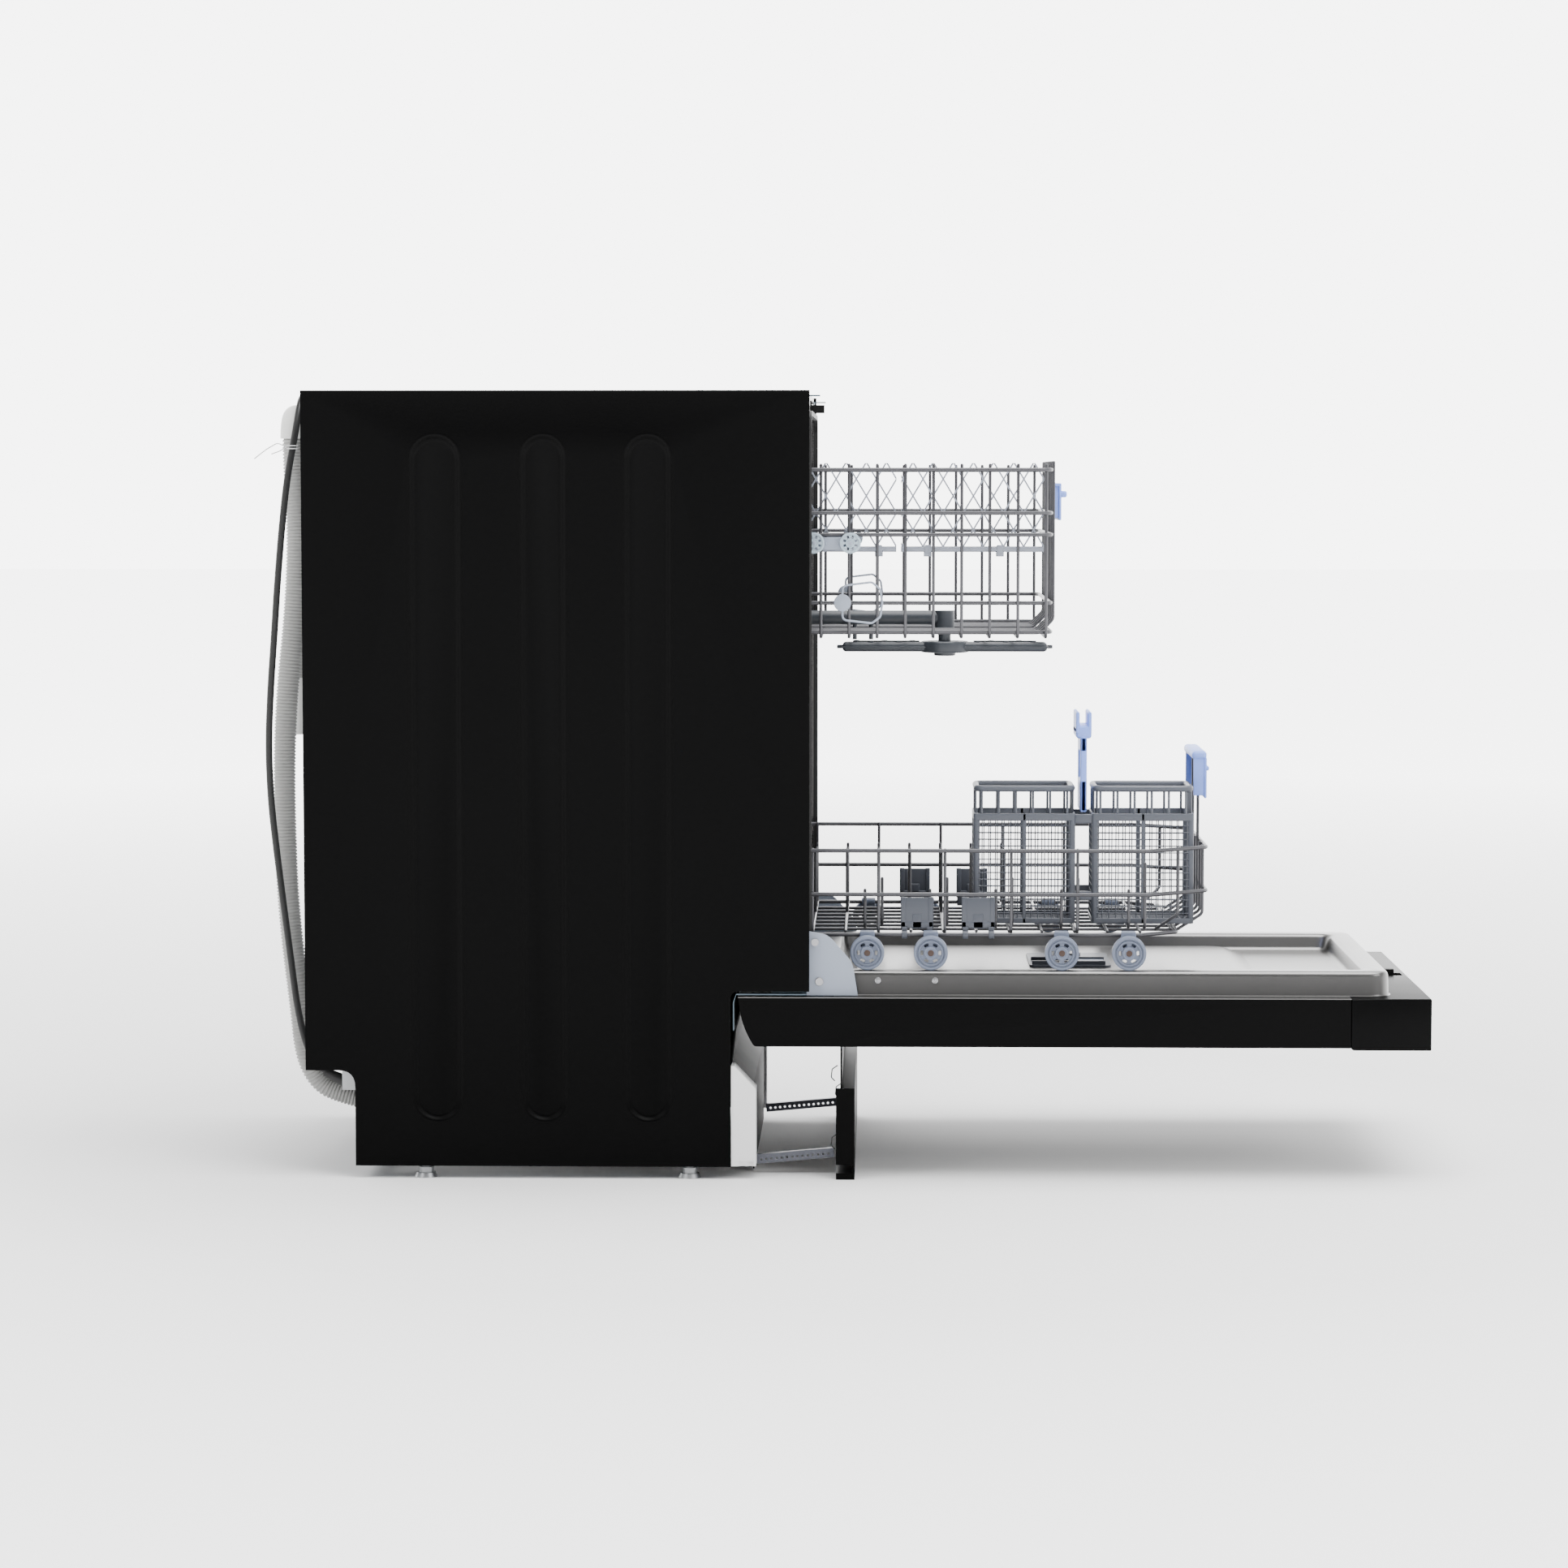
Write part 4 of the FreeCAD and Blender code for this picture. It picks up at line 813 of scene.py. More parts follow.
lowerRack = {
    'side': 0.175, 'front': -0.429, 'back': 0.060, 'cornerY': -0.3636, 'cornerX': 0.1225,
    'wire': 0.0034, 'rail': 0.0044, 'lay': 0.0035, 'wireBend': 0.007, 'railBend': 0.016,
    'rails': (0.3485, 0.3013), 'floor': 0.258, 'tops': 0.351, 'handleTop': 0.440,
    'floorCornerX': 0.140, 'floorCornerY': -0.355, 'floorFront': -0.396,
    'sideWires': (-0.0024, -0.0736, -0.1448, -0.2160, -0.2872, 0.045),
    'crossFirst': -0.390, 'crossPitch': 0.0352, 'crossWires': 13,
    'crossWide': 0.1689, 'crossNarrow': 0.142, 'narrowPast': -0.361,
    'longFirst': -0.111, 'longPitch': 0.037, 'longWires': 7, 'handleWires': (2, 4),
    'longFloor': 0.2573, 'longFront': -0.398, 'longBack': 0.052, 'frontKnee': 0.275, 'backKnee': 0.268,
    # foot X, tine X, top and places of each row of plate tines on the left
    'tineRows': [
        (-0.110, -0.150, 0.3052, (-0.0589, -0.1290, -0.1999, -0.2708, -0.3434)),
        (-0.110, -0.126, 0.3156, (-0.0774, -0.1479, -0.2184, -0.2898)),
        (-0.142, -0.156, 0.335, (-0.3604,)),
    ],
    'bowlTines': (0.020, 0.080, 0.140), 'bowlWires': range(5, 12), 'bowlTop': 0.330,
    'cornerFoot': 0.278, 'cornerIn': 0.9, 'cornerBack': 0.024, 'cornerFloor': 0.2595,
}


def lowerBasket():
    r = lowerRack
    side, cross = r['side'], r['floor'] + 0.003
    inner = side - r['lay']
    crossPlaces = [r['crossFirst'] + r['crossPitch'] * i for i in range(r['crossWires'])]
    thin = []
    for y in r['sideWires']:
        low, top = cross - 0.001, r['tops']
        thin.append([spot(-inner, y, top), spot(-inner, y, low), spot(inner, y, low), spot(inner, y, top)])
    for y in crossPlaces:
        wide = r['crossWide'] if y > r['narrowPast'] else r['crossNarrow']
        thin.append([spot(-wide, y, cross), spot(wide, y, cross)])
    front, back = r['front'] + r['lay'], r['back'] + r['lay']
    for i in range(r['longWires']):
        x = r['longFirst'] + r['longPitch'] * i
        top = r['handleTop'] if i in r['handleWires'] else r['tops']
        thin.append([spot(x, front, top), spot(x, front, r['frontKnee']),
                     spot(x, r['longFront'], r['longFloor']), spot(x, r['longBack'], r['longFloor']),
                     spot(x, back, r['backKnee']), spot(x, back, r['tops'])])
    for foot, x, top, places in r['tineRows']:
        for y in places:
            thin.append([spot(foot, y, cross + 0.002), spot(x, y, cross + 0.002), spot(x, y, top)])
    for x in r['bowlTines']:
        for i in r['bowlWires']:
            thin.append([spot(x, crossPlaces[i], cross), spot(x, crossPlaces[i], r['bowlTop'])])
    thick = []
    corners = [(r['cornerX'], r['cornerY'], r['front'], z) for z in r['rails']]
    corners.append((r['floorCornerX'], r['floorCornerY'], r['floorFront'], r['floor']))
    for x, y, front, z in corners:
        thick.append(['loop', spot(-side, r['back'], z), spot(-side, y, z), spot(-x, front, z),
                      spot(x, front, z), spot(side, y, z), spot(side, r['back'], z)])
    for turn in (-1, 1):
        x, y = (side + r['cornerX']) / 2 * turn, (r['cornerY'] + r['front']) / 2
        thin.append([spot(x, y, r['tops']), spot(x, y, r['cornerFoot']),
                     spot(x * r['cornerIn'], y + r['cornerBack'], r['cornerFloor'])])
    wires = bendWires(thin, r['wire'], r['wireBend'])
    rails = bendWires(thick, r['rail'], r['railBend'])
    settle(joinAll([wires, rails]), 'lowerBasketWires', finishes['rackCoat'], 'lower_basket', ['lower_rack'])


lowerWheel = {
    'radius': 0.0183, 'inside': 0.1847, 'width': 0.0112, 'high': 0.2403,
    'places': {'lower_wheels_1': -0.3417, 'lower_wheels_2': -0.2699, 'lower_wheels_3': -0.1296,
               'lower_wheels_4': -0.0615},
    # how far in and how deep each step of the face goes
    'steps': [(0.0010, 0.0006), (0.0018, 0), (0.0006, -0.0022), (0.0012, 0), (0.0004, 0.0014), (0.0012, 0),
              (0.0004, -0.0020), (0.0044, 0), (0.0004, 0.0030), (0.0020, 0), (0.0004, -0.0006)],
    'slots': 6, 'slotAt': 0.0095, 'slotSize': (0.0052, 0.0032),
}
upperWheel = {
    'radius': 0.0112, 'inside': 0.1911, 'width': 0.0057, 'high': 0.6786,
    'places': {'upper_wheels_front': -0.043, 'upper_wheels_middle': -0.0042, 'upper_wheels_rear': 0.150},
    'steps': [(0.0006, 0.0003), (0.0014, 0), (0.0004, -0.0008), (0.0036, 0), (0.0003, 0.0008), (0.0012, 0),
              (0.0003, -0.0004)],
    'slots': 8, 'slotAt': 0.0066, 'slotSize': (0.0024, 0.0032),
}


def makeWheel(w, finish):
    # both faces of a turned disc are stepped by insets, then slots are cut through the web
    disc = addRod((0, 0, 0), w['radius'], w['width'], 'X', 64)
    pick(disc, 'FACE', lambda face: abs(face.normal.x) > 0.9)
    for thickness, depth in w['steps']:
        bpy.ops.mesh.inset(thickness=thickness, depth=depth, use_individual=True)
    endEdit()
    cutters = []
    for i in range(w['slots']):
        angle = 2 * math.pi * (i + 0.5) / w['slots']
        place = (0, -math.sin(angle) * w['slotAt'], math.cos(angle) * w['slotAt'])
        clearSelection()
        bpy.ops.mesh.primitive_cube_add(size=1, location=place, rotation=(angle, 0, 0))
        cutter = bpy.context.object
        cutter.scale = (w['width'] * 2, *w['slotSize'])
        bpy.ops.object.transform_apply(location=True, rotation=True, scale=True)
        addBevel(cutter, min(w['slotSize']) * 0.3, 2, 30)
        cutters.append(cutter)
    cutAway(disc, joinAll(cutters))
    for node, y in w['places'].items():
        x = w['inside'] + w['width'] / 2
        pair = joinAll([copyOf(disc, spot(side * x, y, w['high'])) for side in (-1, 1)])
        name, body = node.replace('_wheels_', 'Wheels'), node.replace('_wheels_', '_wheel_pair_')
        settle(pair, name, finish, body, [node], angle=30)
    bpy.data.objects.remove(disc)


wheelClip = {
    'inner': 0.1775, 'outer': 0.1818, 'half': 0.008, 'low': 0.2323, 'high': 0.262, 'edge': 0.0012,
    'sleeve': (0.175, 0.2585, 0.0042, 0.015), 'pin': (0.1888, 0.0034, 0.0160),
}


def wheelBlocks():
    # the clips that carry the lower wheels, and their axle ends
    c = wheelClip
    blocks, pins = [], []
    for y in lowerWheel['places'].values():
        for side in (-1, 1):
            blocks.append(sideBlock(side, c['inner'], c['outer'], y - c['half'], y + c['half'],
                                    c['low'], c['high'], c['edge']))
            x, z, radius, depth = c['sleeve']
            blocks.append(addRod(spot(side * x, y, z), radius, depth, 'Y', 24, 0.0006))
            x, radius, depth = c['pin']
            pins.append(addRod(spot(side * x, y, lowerWheel['high']), radius, depth, 'X', 24, 0.0008))
    settle(joinAll(blocks), 'wheelClips', finishes['wheelNylon'], 'lower_basket')
    settle(joinAll(pins), 'wheelPins', finishes['axleBrown'], 'lower_basket')


fittings = {
    'x': 0.1865, 'plate': 0.0016, 'plateLow': 0.6712, 'plateHigh': 0.6846,
    'plates': [(-0.038, -0.009), (0.130, 0.170)], 'rivets': (-0.030, -0.017),
    # the height clip's round foot and its bent loop
    'foot': (-0.0345, 0.6148), 'clip': [(-0.0345, 0.633), (-0.0345, 0.5965), (-0.066, 0.593), (-0.075, 0.600),
                                        (-0.077, 0.6148), (-0.075, 0.629), (-0.066, 0.637)],
    'clipWire': 0.0024, 'clipBend': 0.006,
}


def upperFittings():
    f = fittings
    pieces = []
    for side in (-1, 1):
        def disc(out, y, z, radius, depth, vertices, edge):
            pieces.append(addRod(spot(side * (f['x'] + out), y, z), radius, depth, 'X', vertices, edge))

        for y0, y1 in f['plates']:
            pieces.append(sideBlock(side, f['x'], f['x'] + f['plate'], y0, y1,
                                    f['plateLow'], f['plateHigh'], 0.0007))
        for y in upperWheel['places'].values():
            disc(0.0006, y, upperWheel['high'], 0.0062, 0.0022, 32, 0.0005)
            disc(0.0060, y, upperWheel['high'], 0.0020, 0.0110, 20, 0.0004)
        for y in f['rivets']:
            disc(0.0016, y, 0.678, 0.0011, 0.0014, 16, 0.0003)
        disc(0.0015, *f['foot'], 0.0092, 0.0030, 40, 0.0009)
        loop = ['loop'] + [spot(side * (f['x'] + 0.0012), y, z) for y, z in f['clip']]
        pieces.append(bendWires([loop], f['clipWire'], f['clipBend']))
    settle(joinAll(pieces), 'wheelBrackets', finishes['iceNylon'], 'upper_basket', ['upper_rack_fittings'])


rackGrips = {
    # rows of blocks as addBlocks takes them, from the front wires' Y
    'upperGrip': {
        'node': 'upper_rack_handle', 'body': 'upper_basket', 'front': -0.2634,
        'blocks': [
            (-0.066, 0.066, -0.009, -0.006, 0.7015, 0.7418, 0.0012, 3),
            (-0.066, 0.066, -0.015, -0.0065, 0.7265, 0.7335, 0.0022, 3),
            (-0.066, 0.066, -0.009, 0.001, 0.7385, 0.7420, 0.0014, 3),
            (-0.064, -0.060, -0.0085, 0.002, 0.704, 0.741, 0.0009, 3),
            (0.060, 0.064, -0.0085, 0.002, 0.704, 0.741, 0.0009, 3),
        ],
    },
    'lowerGrip': {
        'node': 'lower_rack_handle', 'body': 'lower_basket', 'front': -0.4238,
        'blocks': [
            (-0.064, 0.064, -0.0095, -0.0065, 0.397, 0.442, 0.0014, 3),
            (-0.064, 0.064, -0.0095, 0.007, 0.4395, 0.449, 0.0042, 4),
            (-0.064, 0.064, -0.012, -0.0065, 0.4275, 0.4325, 0.0018, 3),
            (-0.0625, -0.0585, -0.009, 0.005, 0.400, 0.444, 0.0009, 3),
            (0.0585, 0.0625, -0.009, 0.005, 0.400, 0.444, 0.0009, 3),
        ],
    },
}


def grips():
    for name, grip in rackGrips.items():
        whole = joinAll(addBlocks(grip['blocks'], (0, grip['front'], 0)))
        settle(whole, name, finishes['handleBlue'], grip['body'], [grip['node']])


liner = {
    # half width, nearest Y, farthest Y, corner radius and height of each ring of the pressing
    'rings': [
        (0.2030, -0.0040, -0.6220, 0.0240, 0.1960), (0.2018, -0.0052, -0.6208, 0.0228, 0.1964),
        (0.2012, -0.0058, -0.6202, 0.0222, 0.1980), (0.2004, -0.0066, -0.6194, 0.0214, 0.2165),
        (0.1998, -0.0072, -0.6188, 0.0208, 0.2190), (0.1984, -0.0086, -0.6174, 0.0194, 0.2208),
        (0.1966, -0.0104, -0.6156, 0.0180, 0.2217), (0.1790, -0.0290, -0.5990, 0.0180, 0.2217),
        (0.1768, -0.0312, -0.5968, 0.0180, 0.2212), (0.1750, -0.0330, -0.5950, 0.0178, 0.2198),
        (0.1740, -0.0340, -0.5940, 0.0176, 0.2180), (0.1716, -0.0364, -0.5916, 0.0170, 0.2075),
        (0.1704, -0.0376, -0.5904, 0.0166, 0.2052), (0.1686, -0.0394, -0.5886, 0.0160, 0.2037),
        (0.1660, -0.0420, -0.5860, 0.0150, 0.2032),
    ],
    # the raised floor between the heel and the pan at the far end
    'floorRings': [
        (0.1655, -0.0425, -0.4900, 0.0240, 0.2033), (0.1640, -0.0440, -0.4870, 0.0230, 0.2036),
        (0.1622, -0.0458, -0.4820, 0.0220, 0.2052), (0.1600, -0.0480, -0.4740, 0.0210, 0.2082),
        (0.1582, -0.0498, -0.4690, 0.0200, 0.2094), (0.1560, -0.0520, -0.4660, 0.0190, 0.2097),
    ],
    # the flat flange round the pressing: half of its outline, from the heel to the far end
    'flange': [(0.2076, 0.076), (0.2076, -0.026), (0.217, -0.026), (0.217, 0.076), (0.2255, 0.076),
               (0.2255, -0.5760), (0.191, -0.5760), (0.191, -0.6195)],
    'flangeHigh': 0.1960, 'sheet': 0.0008, 'screws': [-0.073, -0.134], 'guardScrew': (-0.0105, 0.2118),
}


def bendOutline(points):
    # a closed line of edges through the points
    clearSelection()
    bpy.ops.curve.primitive_bezier_circle_add(location=(0, 0, 0))
    line = bpy.context.object
    line.data.splines.clear()
    line.data.dimensions = '3D'
    spline = line.data.splines.new('POLY')
    spline.points.add(len(points) - 1)
    spline.use_cyclic_u = True
    for point, place in zip(spline.points, points):
        point.co = (*place, 1)
    bpy.ops.object.convert(target='MESH')
    return bpy.context.object


def pressing(rings):
    # rings of one point count bridged one to the next, the last one filled
    loops = []
    for half, near, far, corner, high in rings:
        outline = roundLoop([(-half, near), (half, near), (half, far), (-half, far)], [corner] * 4, 10)
        loops.append(bendOutline([spot(x, y, high) for x, y in outline]))
    count = len(loops[0].data.vertices)
    shell = joinAll(loops)
    for i in range(len(rings) - 1):
        pick(shell, 'EDGE', lambda edge: all(count * i <= v < count * (i + 2) for v in edge.vertices))
        bpy.ops.mesh.bridge_edge_loops()
        endEdit()
    pick(shell, 'EDGE', lambda edge: all(v >= count * (len(rings) - 1) for v in edge.vertices))
    bpy.ops.mesh.edge_face_add()
    endEdit()
    faceTowards(shell, 2, 1)
    return shell


def screwHead(side, x, y, z, sizes):
    # a stepped round head that looks sideways; each row is a step out, radius, depth, sides and edge
    return [addRod(spot(side * (x + out), y, z), radius, depth, 'X', sides, edge)
            for out, radius, depth, sides, edge in sizes]


def doorLiner():
    s = liner
    half = [(x, y + frontY) for x, y in s['flange']]
    flange = filledShape([half + [(-x, y) for x, y in reversed(half)]], s['flangeHigh'])
    faceTowards(flange, 2, 1)
    whole = joinAll([pressing(s['rings']), pressing(s['floorRings']), flange])
    addSheet(whole, s['sheet'])
    settle(whole, 'doorLiner', finishes['linerSteel'], 'door', ['door_liner'], angle=40)
    heads, guardHeads = [], []
    for side in (-1, 1):
        for y in s['screws']:
            heads += screwHead(side, 0.2010, y, 0.2115, [(0, 0.0034, 0.0016, 28, 0.0004),
                                                         (0.0008, 0.0019, 0.0014, 20, 0.0004)])
        guardHeads += screwHead(side, 0.2155, *s['guardScrew'], [(0, 0.0046, 0.0012, 32, 0.0005),
                                                                 (0.0007, 0.0026, 0.0016, 24, 0.0006)])
    settle(joinAll(heads), 'doorScrews', finishes['screwSteel'], 'door')
    settle(joinAll(guardHeads), 'guardScrews', finishes['screwSteel'], 'cabinet')


doorSkin = {
    'outline': [(0.0760, 0.1948), (0.0720, 0.1660), (0.0590, 0.1430), (-0.5757, 0.1430), (-0.5757, 0.1948)],
    'radii': [0, 0.018, 0.003, 0, 0], 'sheet': 0.001, 'edge': 0.0007,
}
fascia = {
    'outline': [(-0.5761, 0.1952), (-0.5761, 0.1425), (-0.5780, 0.1407), (-0.6610, 0.1407),
                (-0.6610, 0.1960), (-0.6204, 0.1960)],
    'edge': 0.0016, 'buttons': (-0.120, -0.085), 'buttonY': -0.630, 'buttonHole': 0.0073, 'buttonDeep': 0.018,
    'lights': (-0.040, -0.025, -0.010, 0.005), 'latchSlot': ((-0.012, -0.656, 0.180), (0.012, -0.631, 0.200)),
    'lip': ((-0.150, -0.6180, 0.1955), (0.150, -0.6210, 0.1968)),
}


def acrossDoor(outline):
    # a profile drawn side-on and drawn out over the door's width
    shape = filledShape([[(y + frontY, z) for y, z in outline]])
    shape.location.x = -halfWidth
    activate(shape)
    bpy.ops.object.transform_apply(location=True, rotation=True, scale=True)
    editAll(shape)
    bpy.ops.mesh.remove_doubles(threshold=1e-6)
    bpy.ops.mesh.dissolve_limited(angle_limit=0.01)
    bpy.ops.mesh.select_all(action='SELECT')
    bpy.ops.mesh.extrude_region_move(TRANSFORM_OT_translate={'value': (2 * halfWidth, 0, 0)})
    bpy.ops.mesh.select_all(action='SELECT')
    bpy.ops.mesh.normals_make_consistent(inside=False)
    endEdit()
    return shape


def skinAndConsole():
    skin = acrossDoor(roundLoop(doorSkin['outline'], doorSkin['radii']))
    top = max(skin.data.polygons, key=lambda face: face.center.z).index
    pick(skin, 'FACE', lambda face: face.index == top)
    bpy.ops.mesh.delete(type='FACE')
    endEdit()
    addBevel(skin, doorSkin['edge'], 2, 50)
    addSheet(skin, doorSkin['sheet'])
    settle(skin, 'doorSkin', finishes['panelBlack'], 'door', ['door_panel'])
    f = fascia
    body = acrossDoor(f['outline'])
    addBevel(body, f['edge'], 3, 40)
    holes = [addBlock(spot(*f['latchSlot'][0]), spot(*f['latchSlot'][1]), 0.002)]
    for x in f['buttons']:
        holes.append(addRod(spot(x, f['buttonY'], 0.1405), f['buttonHole'], f['buttonDeep'], 'Z', 40))
    cutAway(body, joinAll(holes))
    settle(body, 'controlFascia', finishes['consoleBlack'], 'door', ['console'], angle=30)
    marks = [addRod(spot(x, f['buttonY'], 0.1405), 0.0016, 0.0012, 'Z', 20, 0.0003) for x in f['lights']]
    settle(joinAll(marks), 'indicatorLights', finishes['tieWhite'], 'door')
    lip = addBlock(spot(*f['lip'][0]), spot(*f['lip'][1]), 0.0004)
    settle(lip, 'consoleLip', finishes['screwSteel'], 'door')


cutlery = {
    'low': (-0.115, -0.416, 0.264), 'high': (-0.032, -0.1765, 0.384), 'gap': 0.009,
    'mesh': 0.0072, 'strip': 0.0016, 'wall': 0.0012, 'band': 0.008, 'foot': 0.006,
    'rib': 0.002, 'edge': 0.0008, 'corner': 0.0034,
    'ringHigh': 0.411, 'ring': 0.0070, 'ringBend': 0.010, 'post': 0.0026, 'posts': 6,
    # rows of blocks as addBlocks takes them, from the middle of the basket
    'grip': [
        (-0.033, -0.024, -0.0035, 0.0035, 0.385, 0.470, 0.0018, 3),
        (0.024, 0.033, -0.0035, 0.0035, 0.385, 0.470, 0.0018, 3),
        (-0.033, 0.033, -0.0035, 0.0035, 0.385, 0.420, 0.0018, 3),
        (-0.033, 0.033, -0.0035, 0.0035, 0.450, 0.467, 0.0018, 3),
        (-0.033, 0.033, -0.0085, 0.0085, 0.465, 0.479, 0.0034, 4),
        (-0.033, 0.033, -0.0085, -0.0045, 0.470, 0.494, 0.0018, 4),
        (-0.033, 0.033, 0.0045, 0.0085, 0.470, 0.494, 0.0018, 4),
    ],
}


def gridWall(low, high, cell, strip):
    # a flat lattice of square holes between two corners, thin in one direction
    size = [b - a for a, b in zip(low, high)]
    thin = min(range(3), key=lambda k: size[k])
    across, up = [k for k in range(3) if k != thin]
    turn = {0: (math.pi / 2, 0, math.pi / 2), 1: (math.pi / 2, 0, 0), 2: (0, 0, 0)}[thin]
    clearSelection()
    bpy.ops.mesh.primitive_grid_add(x_subdivisions=max(1, round(size[across] / cell)),
                                    y_subdivisions=max(1, round(size[up] / cell)), size=1,
                                    location=[(a + b) / 2 for a, b in zip(low, high)], rotation=turn)
    wall = bpy.context.object
    wall.scale = (size[across], size[up], 1)
    bpy.ops.object.transform_apply(location=True, rotation=True, scale=True)
    lattice = wall.modifiers.new("lattice", 'WIREFRAME')
    lattice.thickness = strip
    lattice.use_boundary = True
    lattice.use_even_offset = False
    applyAll(wall)
    return wall


def basketCell(a, b):
    # one of the basket's two cells, between two places along Y
    c = cutlery
    (x0, y0, z0), (x1, y1, z1) = c['low'], c['high']
    t, edge, lattice = c['wall'], c['edge'], (c['mesh'], c['strip'])
    middle, height, inset = (a + b) / 2, c['ringHigh'], 0.0035
    bands = ((z1 - c['band'], z1), (z0, z0 + c['foot']))
    parts = []
    for x in (x0 + t, x1 - t):
        parts.append(gridWall(spot(x, a + 0.004, z0 + 0.004), spot(x, b - 0.004, z1 - 0.006), *lattice))
        for low, high in bands:
            parts.append(addBlock(spot(x - t, a + 0.003, low), spot(x + t, b - 0.003, high), edge))
        parts.append(addBlock(spot(x - t, middle - c['rib'], z0), spot(x + t, middle + c['rib'], z1), edge))
    for y in (a + t, b - t):
        parts.append(gridWall(spot(x0 + 0.004, y, z0 + 0.004), spot(x1 - 0.004, y, z1 - 0.006), *lattice))
        for low, high in bands:
            parts.append(addBlock(spot(x0 + 0.003, y - t, low), spot(x1 - 0.003, y + t, high), edge))
    for x in (x0 + inset, x1 - inset):
        for y in (a + inset, b - inset):
            parts.append(addRod(spot(x, y, (z0 + z1) / 2), c['corner'], z1 - z0, 'Z', 20, edge))
    parts.append(gridWall(spot(x0 + 0.003, a + 0.003, z0 + 0.0012), spot(x1 - 0.003, b - 0.003, z0 + 0.0012),
                          c['mesh'] * 1.2, c['strip']))
    ring = loopWire(x0 + inset, x1 - inset, a + inset, b - inset, height)
    parts.append(bendWires([ring], c['ring'], c['ringBend']))
    posts = []
    for x, lean in ((x0 + 0.0024, 0.001), (x1 - 0.0024, -0.001)):
        for i in range(c['posts']):
            y = a + 0.009 + i * (b - a - 0.018) / (c['posts'] - 1)
            posts.append([spot(x, y, z1 - 0.006), spot(x, y, z1 + 0.012), spot(x + lean, y, height)])
    for y in (a + 0.0024, b - 0.0024):
        for x in (x0 + 0.020, (x0 + x1) / 2, x1 - 0.020):
            posts.append([spot(x, y, z1 - 0.006), spot(x, y, height)])
    parts.append(bendWires(posts, c['post'], 0.006, False, 2))
    return parts


def cutleryBasket():
    c = cutlery
    (x0, y0, z0), (x1, y1, z1) = c['low'], c['high']
    middle, gap = (y0 + y1) / 2, c['gap']
    parts = basketCell(y0, middle - gap) + basketCell(middle + gap, y1)
    # the links between the two cells
    for x in (x0 + 0.006, x1 - 0.006):
        for z in (z0 + 0.030, z1 - 0.006):
            parts.append(addBlock(spot(x - 0.003, middle - gap - 0.001, z - 0.005),
                                  spot(x + 0.003, middle + gap + 0.001, z + 0.005), 0.0012))
    settle(joinAll(parts), 'cutleryBasket', finishes['basketGrey'], 'cutlery_basket', ['basket'])
    grip = joinAll(addBlocks(c['grip'], ((x0 + x1) / 2, middle, 0)))
    settle(grip, 'basketGrip', finishes['handleBlue'], 'cutlery_basket', ['basket_handle'])


sprayArm = {
    'middle': (0, -0.1463, 0.5608), 'top': 0.00525,
    # the hollow arm, its seam, its tips and its two ribs, as addBlocks takes them
    'blocks': [
        (-0.015, 0.015, -0.1135, 0.1135, -0.00525, 0.00525, 0.0042, 5),
        (-0.0162, 0.0162, -0.1147, 0.1147, -0.0012, 0.0006, 0.0005, 3),
        (-0.003, 0.003, -0.1197, 0.1197, -0.002, 0.002, 0.0010, 3),
        (-0.0012, 0.0012, 0.028, 0.102, 0.00425, 0.00685, 0.0006, 3),
        (-0.0012, 0.0012, -0.098, -0.032, 0.00425, 0.00685, 0.0006, 3),
    ],
    # height, radius, depth, sides and edge of the hub's steps
    'hub': [(0, 0.027, 0.0125, 56, 0.0024), (-0.007, 0.012, 0.006, 36, 0.0015)],
    'nozzles': 5, 'nozzleFrom': 0.036, 'nozzleStep': 0.0155, 'nozzleAside': 0.006,
}


def upperSprayArm():
    s = sprayArm
    x, y, z = s['middle']
    parts = addBlocks(s['blocks'], s['middle'])
    for up, radius, depth, sides, edge in s['hub']:
        parts.append(addRod(spot(x, y, z + up), radius, depth, 'Z', sides, edge))
    for side in (-1, 1):
        for i in range(s['nozzles']):
            along = y + side * (s['nozzleFrom'] + i * s['nozzleStep'])
            aside = side * s['nozzleAside'] * (-1) ** i
            parts.append(addRod(spot(aside, along, z + s['top'] + 0.0005), 0.0035, 0.0024, 'Z', 24, 0.0008))
    settle(joinAll(parts), 'upperSprayArm', finishes['armGrey'], 'upper_arm', ['upper_spray_arm'])


tineHolder = {
    'places': [(-0.1325, -0.0975), (-0.1988, -0.1629)], 'inner': 0.1666, 'outer': 0.1696, 'post': 0.0055,
    'webInner': 0.1676, 'webOuter': 0.1690, 'clipInner': 0.1668, 'clipOuter': 0.1715,
    'sleeve': (0.175, 0.258, 0.0043, 0.006),
}


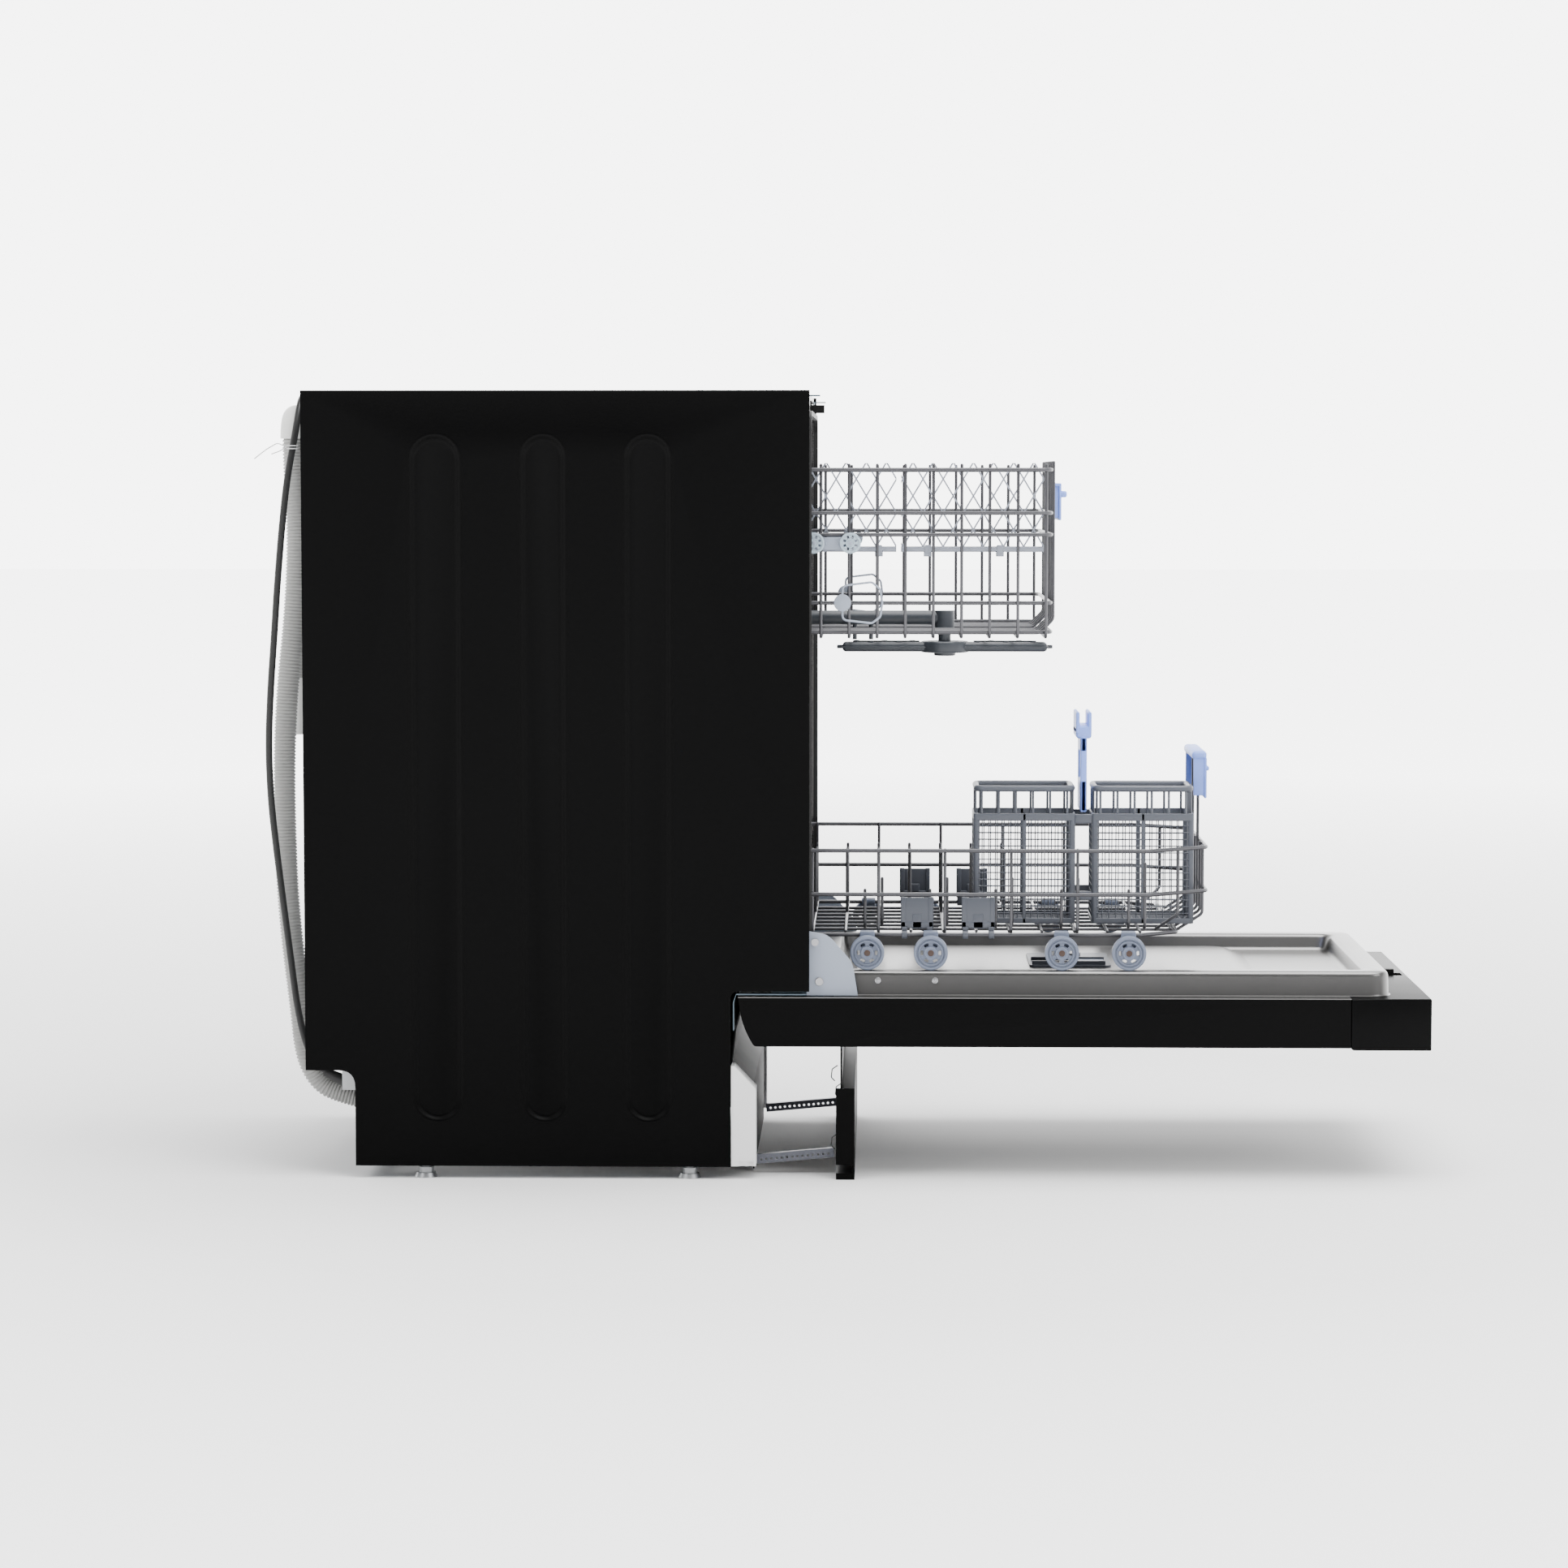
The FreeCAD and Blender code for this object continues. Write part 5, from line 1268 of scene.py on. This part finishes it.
def tineHolders():
    t = tineHolder
    sleeveX, sleeveZ, radius, depth = t['sleeve']
    parts = []
    for y0, y1 in t['places']:
        for side in (-1, 1):
            for y in (y0, y1 - t['post']):
                parts.append(sideBlock(side, t['inner'], t['outer'], y, y + t['post'], 0.2645, 0.298, 0.0010))
            parts.append(sideBlock(side, t['inner'], t['outer'], y0, y1, 0.2640, 0.2720, 0.0010))
            parts.append(sideBlock(side, t['webInner'], t['webOuter'], y0 + 0.003, y1 - 0.003,
                                   0.2700, 0.2975, 0.0005))
            parts.append(sideBlock(side, t['inner'], t['outer'], y0 + 0.012, y1 - 0.012,
                                   0.2640, 0.2800, 0.0012))
            for y in (y0 + 0.004, y1 - 0.004):
                parts.append(addRod(spot(side * sleeveX, y, sleeveZ), radius, depth, 'Y', 24, 0.0008))
                parts.append(sideBlock(side, t['clipInner'], t['clipOuter'], y - 0.003, y + 0.003,
                                       0.2575, 0.266, 0.0008))
    settle(joinAll(parts), 'tineHolders', finishes['basketGrey'], 'lower_basket')


shelfHook = {
    'places': {'shelf_front': (-0.2025, -0.1254), 'shelf_rear': (-0.0733, 0.0050)},
    'low': (-0.1735, -0.0035, 0.6660), 'high': (-0.1678, 0.0035, 0.6762),
    'roll': (-0.1712, 0.6665, 0.0026, 0.0085),
}


def shelfHooks():
    # little clips on the lattice shelves' lower bars
    (x0, y0, z0), (x1, y1, z1) = shelfHook['low'], shelfHook['high']
    rollX, rollZ, radius, depth = shelfHook['roll']
    for body, places in shelfHook['places'].items():
        parts = []
        for y in places:
            parts.append(addBlock(spot(x0, y + y0, z0), spot(x1, y + y1, z1), 0.0012))
            parts.append(addRod(spot(rollX, y, rollZ), radius, depth, 'Y', 20, 0.0006))
        settle(joinAll(parts), 'hooks' + body.split('_')[1].title(), finishes['latticePale'], body)


kickClip = {
    'x': 0.188, 'y': -0.0270, 'feet': (0.0270, 0.1010), 'wire': 0.0013, 'bendRadius': 0.003,
    'bends': [(0, 0), (0.004, 0.004), (0.003, 0.013), (-0.003, 0.017)],
}


def kickClips():
    # bent spring wires that lock the toe kick on its straps
    k = kickClip
    wires = [[spot(side * k['x'], k['y'] + y, foot + z) for y, z in k['bends']]
             for side in (-1, 1) for foot in k['feet']]
    settle(bendWires(wires, k['wire'], k['bendRadius']), 'kickClips', finishes['springWire'], 'toe_kick')


tie = {
    'x': -0.181, 'y': 0.5535, 'z': 0.779, 'wire': 0.0012, 'turnX': 0.0052, 'turnY': 0.0060, 'pitch': 0.003,
    # the two loose ends, from the middle of the turns
    'ends': [
        [(0, 0.0057, 0.0015), (0, 0.016, 0.006), (0, 0.028, -0.001), (0, 0.041, -0.011)],
        [(0, 0.0057, 0.0015), (-0.002, 0.014, -0.003), (-0.004, 0.022, -0.006)],
    ],
}


def twistTie():
    t = tie
    angles = [a * math.pi / 4 for a in range(8)]
    corners = [(t['x'] + t['turnX'] * math.cos(a), t['y'] + t['turnY'] * math.sin(a)) for a in angles]
    turns = [['loop'] + [spot(x, y, t['z'] + t['pitch'] * k) for x, y in corners] for k in range(2)]
    ends = [[spot(t['x'] + x, t['y'] + y, t['z'] + z) for x, y, z in end] for end in t['ends']]
    whole = joinAll([bendWires(turns, t['wire'], 0.003), bendWires(ends, t['wire'], 0.006)])
    settle(whole, 'twistTie', finishes['tieWhite'], 'cabinet')


print("side panels")
sidePanels()
print("racks")
upperBasket()
lowerBasket()
print("wheels and grips")
makeWheel(lowerWheel, finishes['wheelNylon'])
makeWheel(upperWheel, finishes['wheelPale'])
wheelBlocks()
upperFittings()
grips()
print("door liner, skin and console")
doorLiner()
skinAndConsole()
print("cutlery basket and spray arm")
cutleryBasket()
upperSprayArm()
print("small parts")
tineHolders()
shelfHooks()
kickClips()
twistTie()
print("hose and cord")
ribbedHose()
mainsCord()
print("finish")
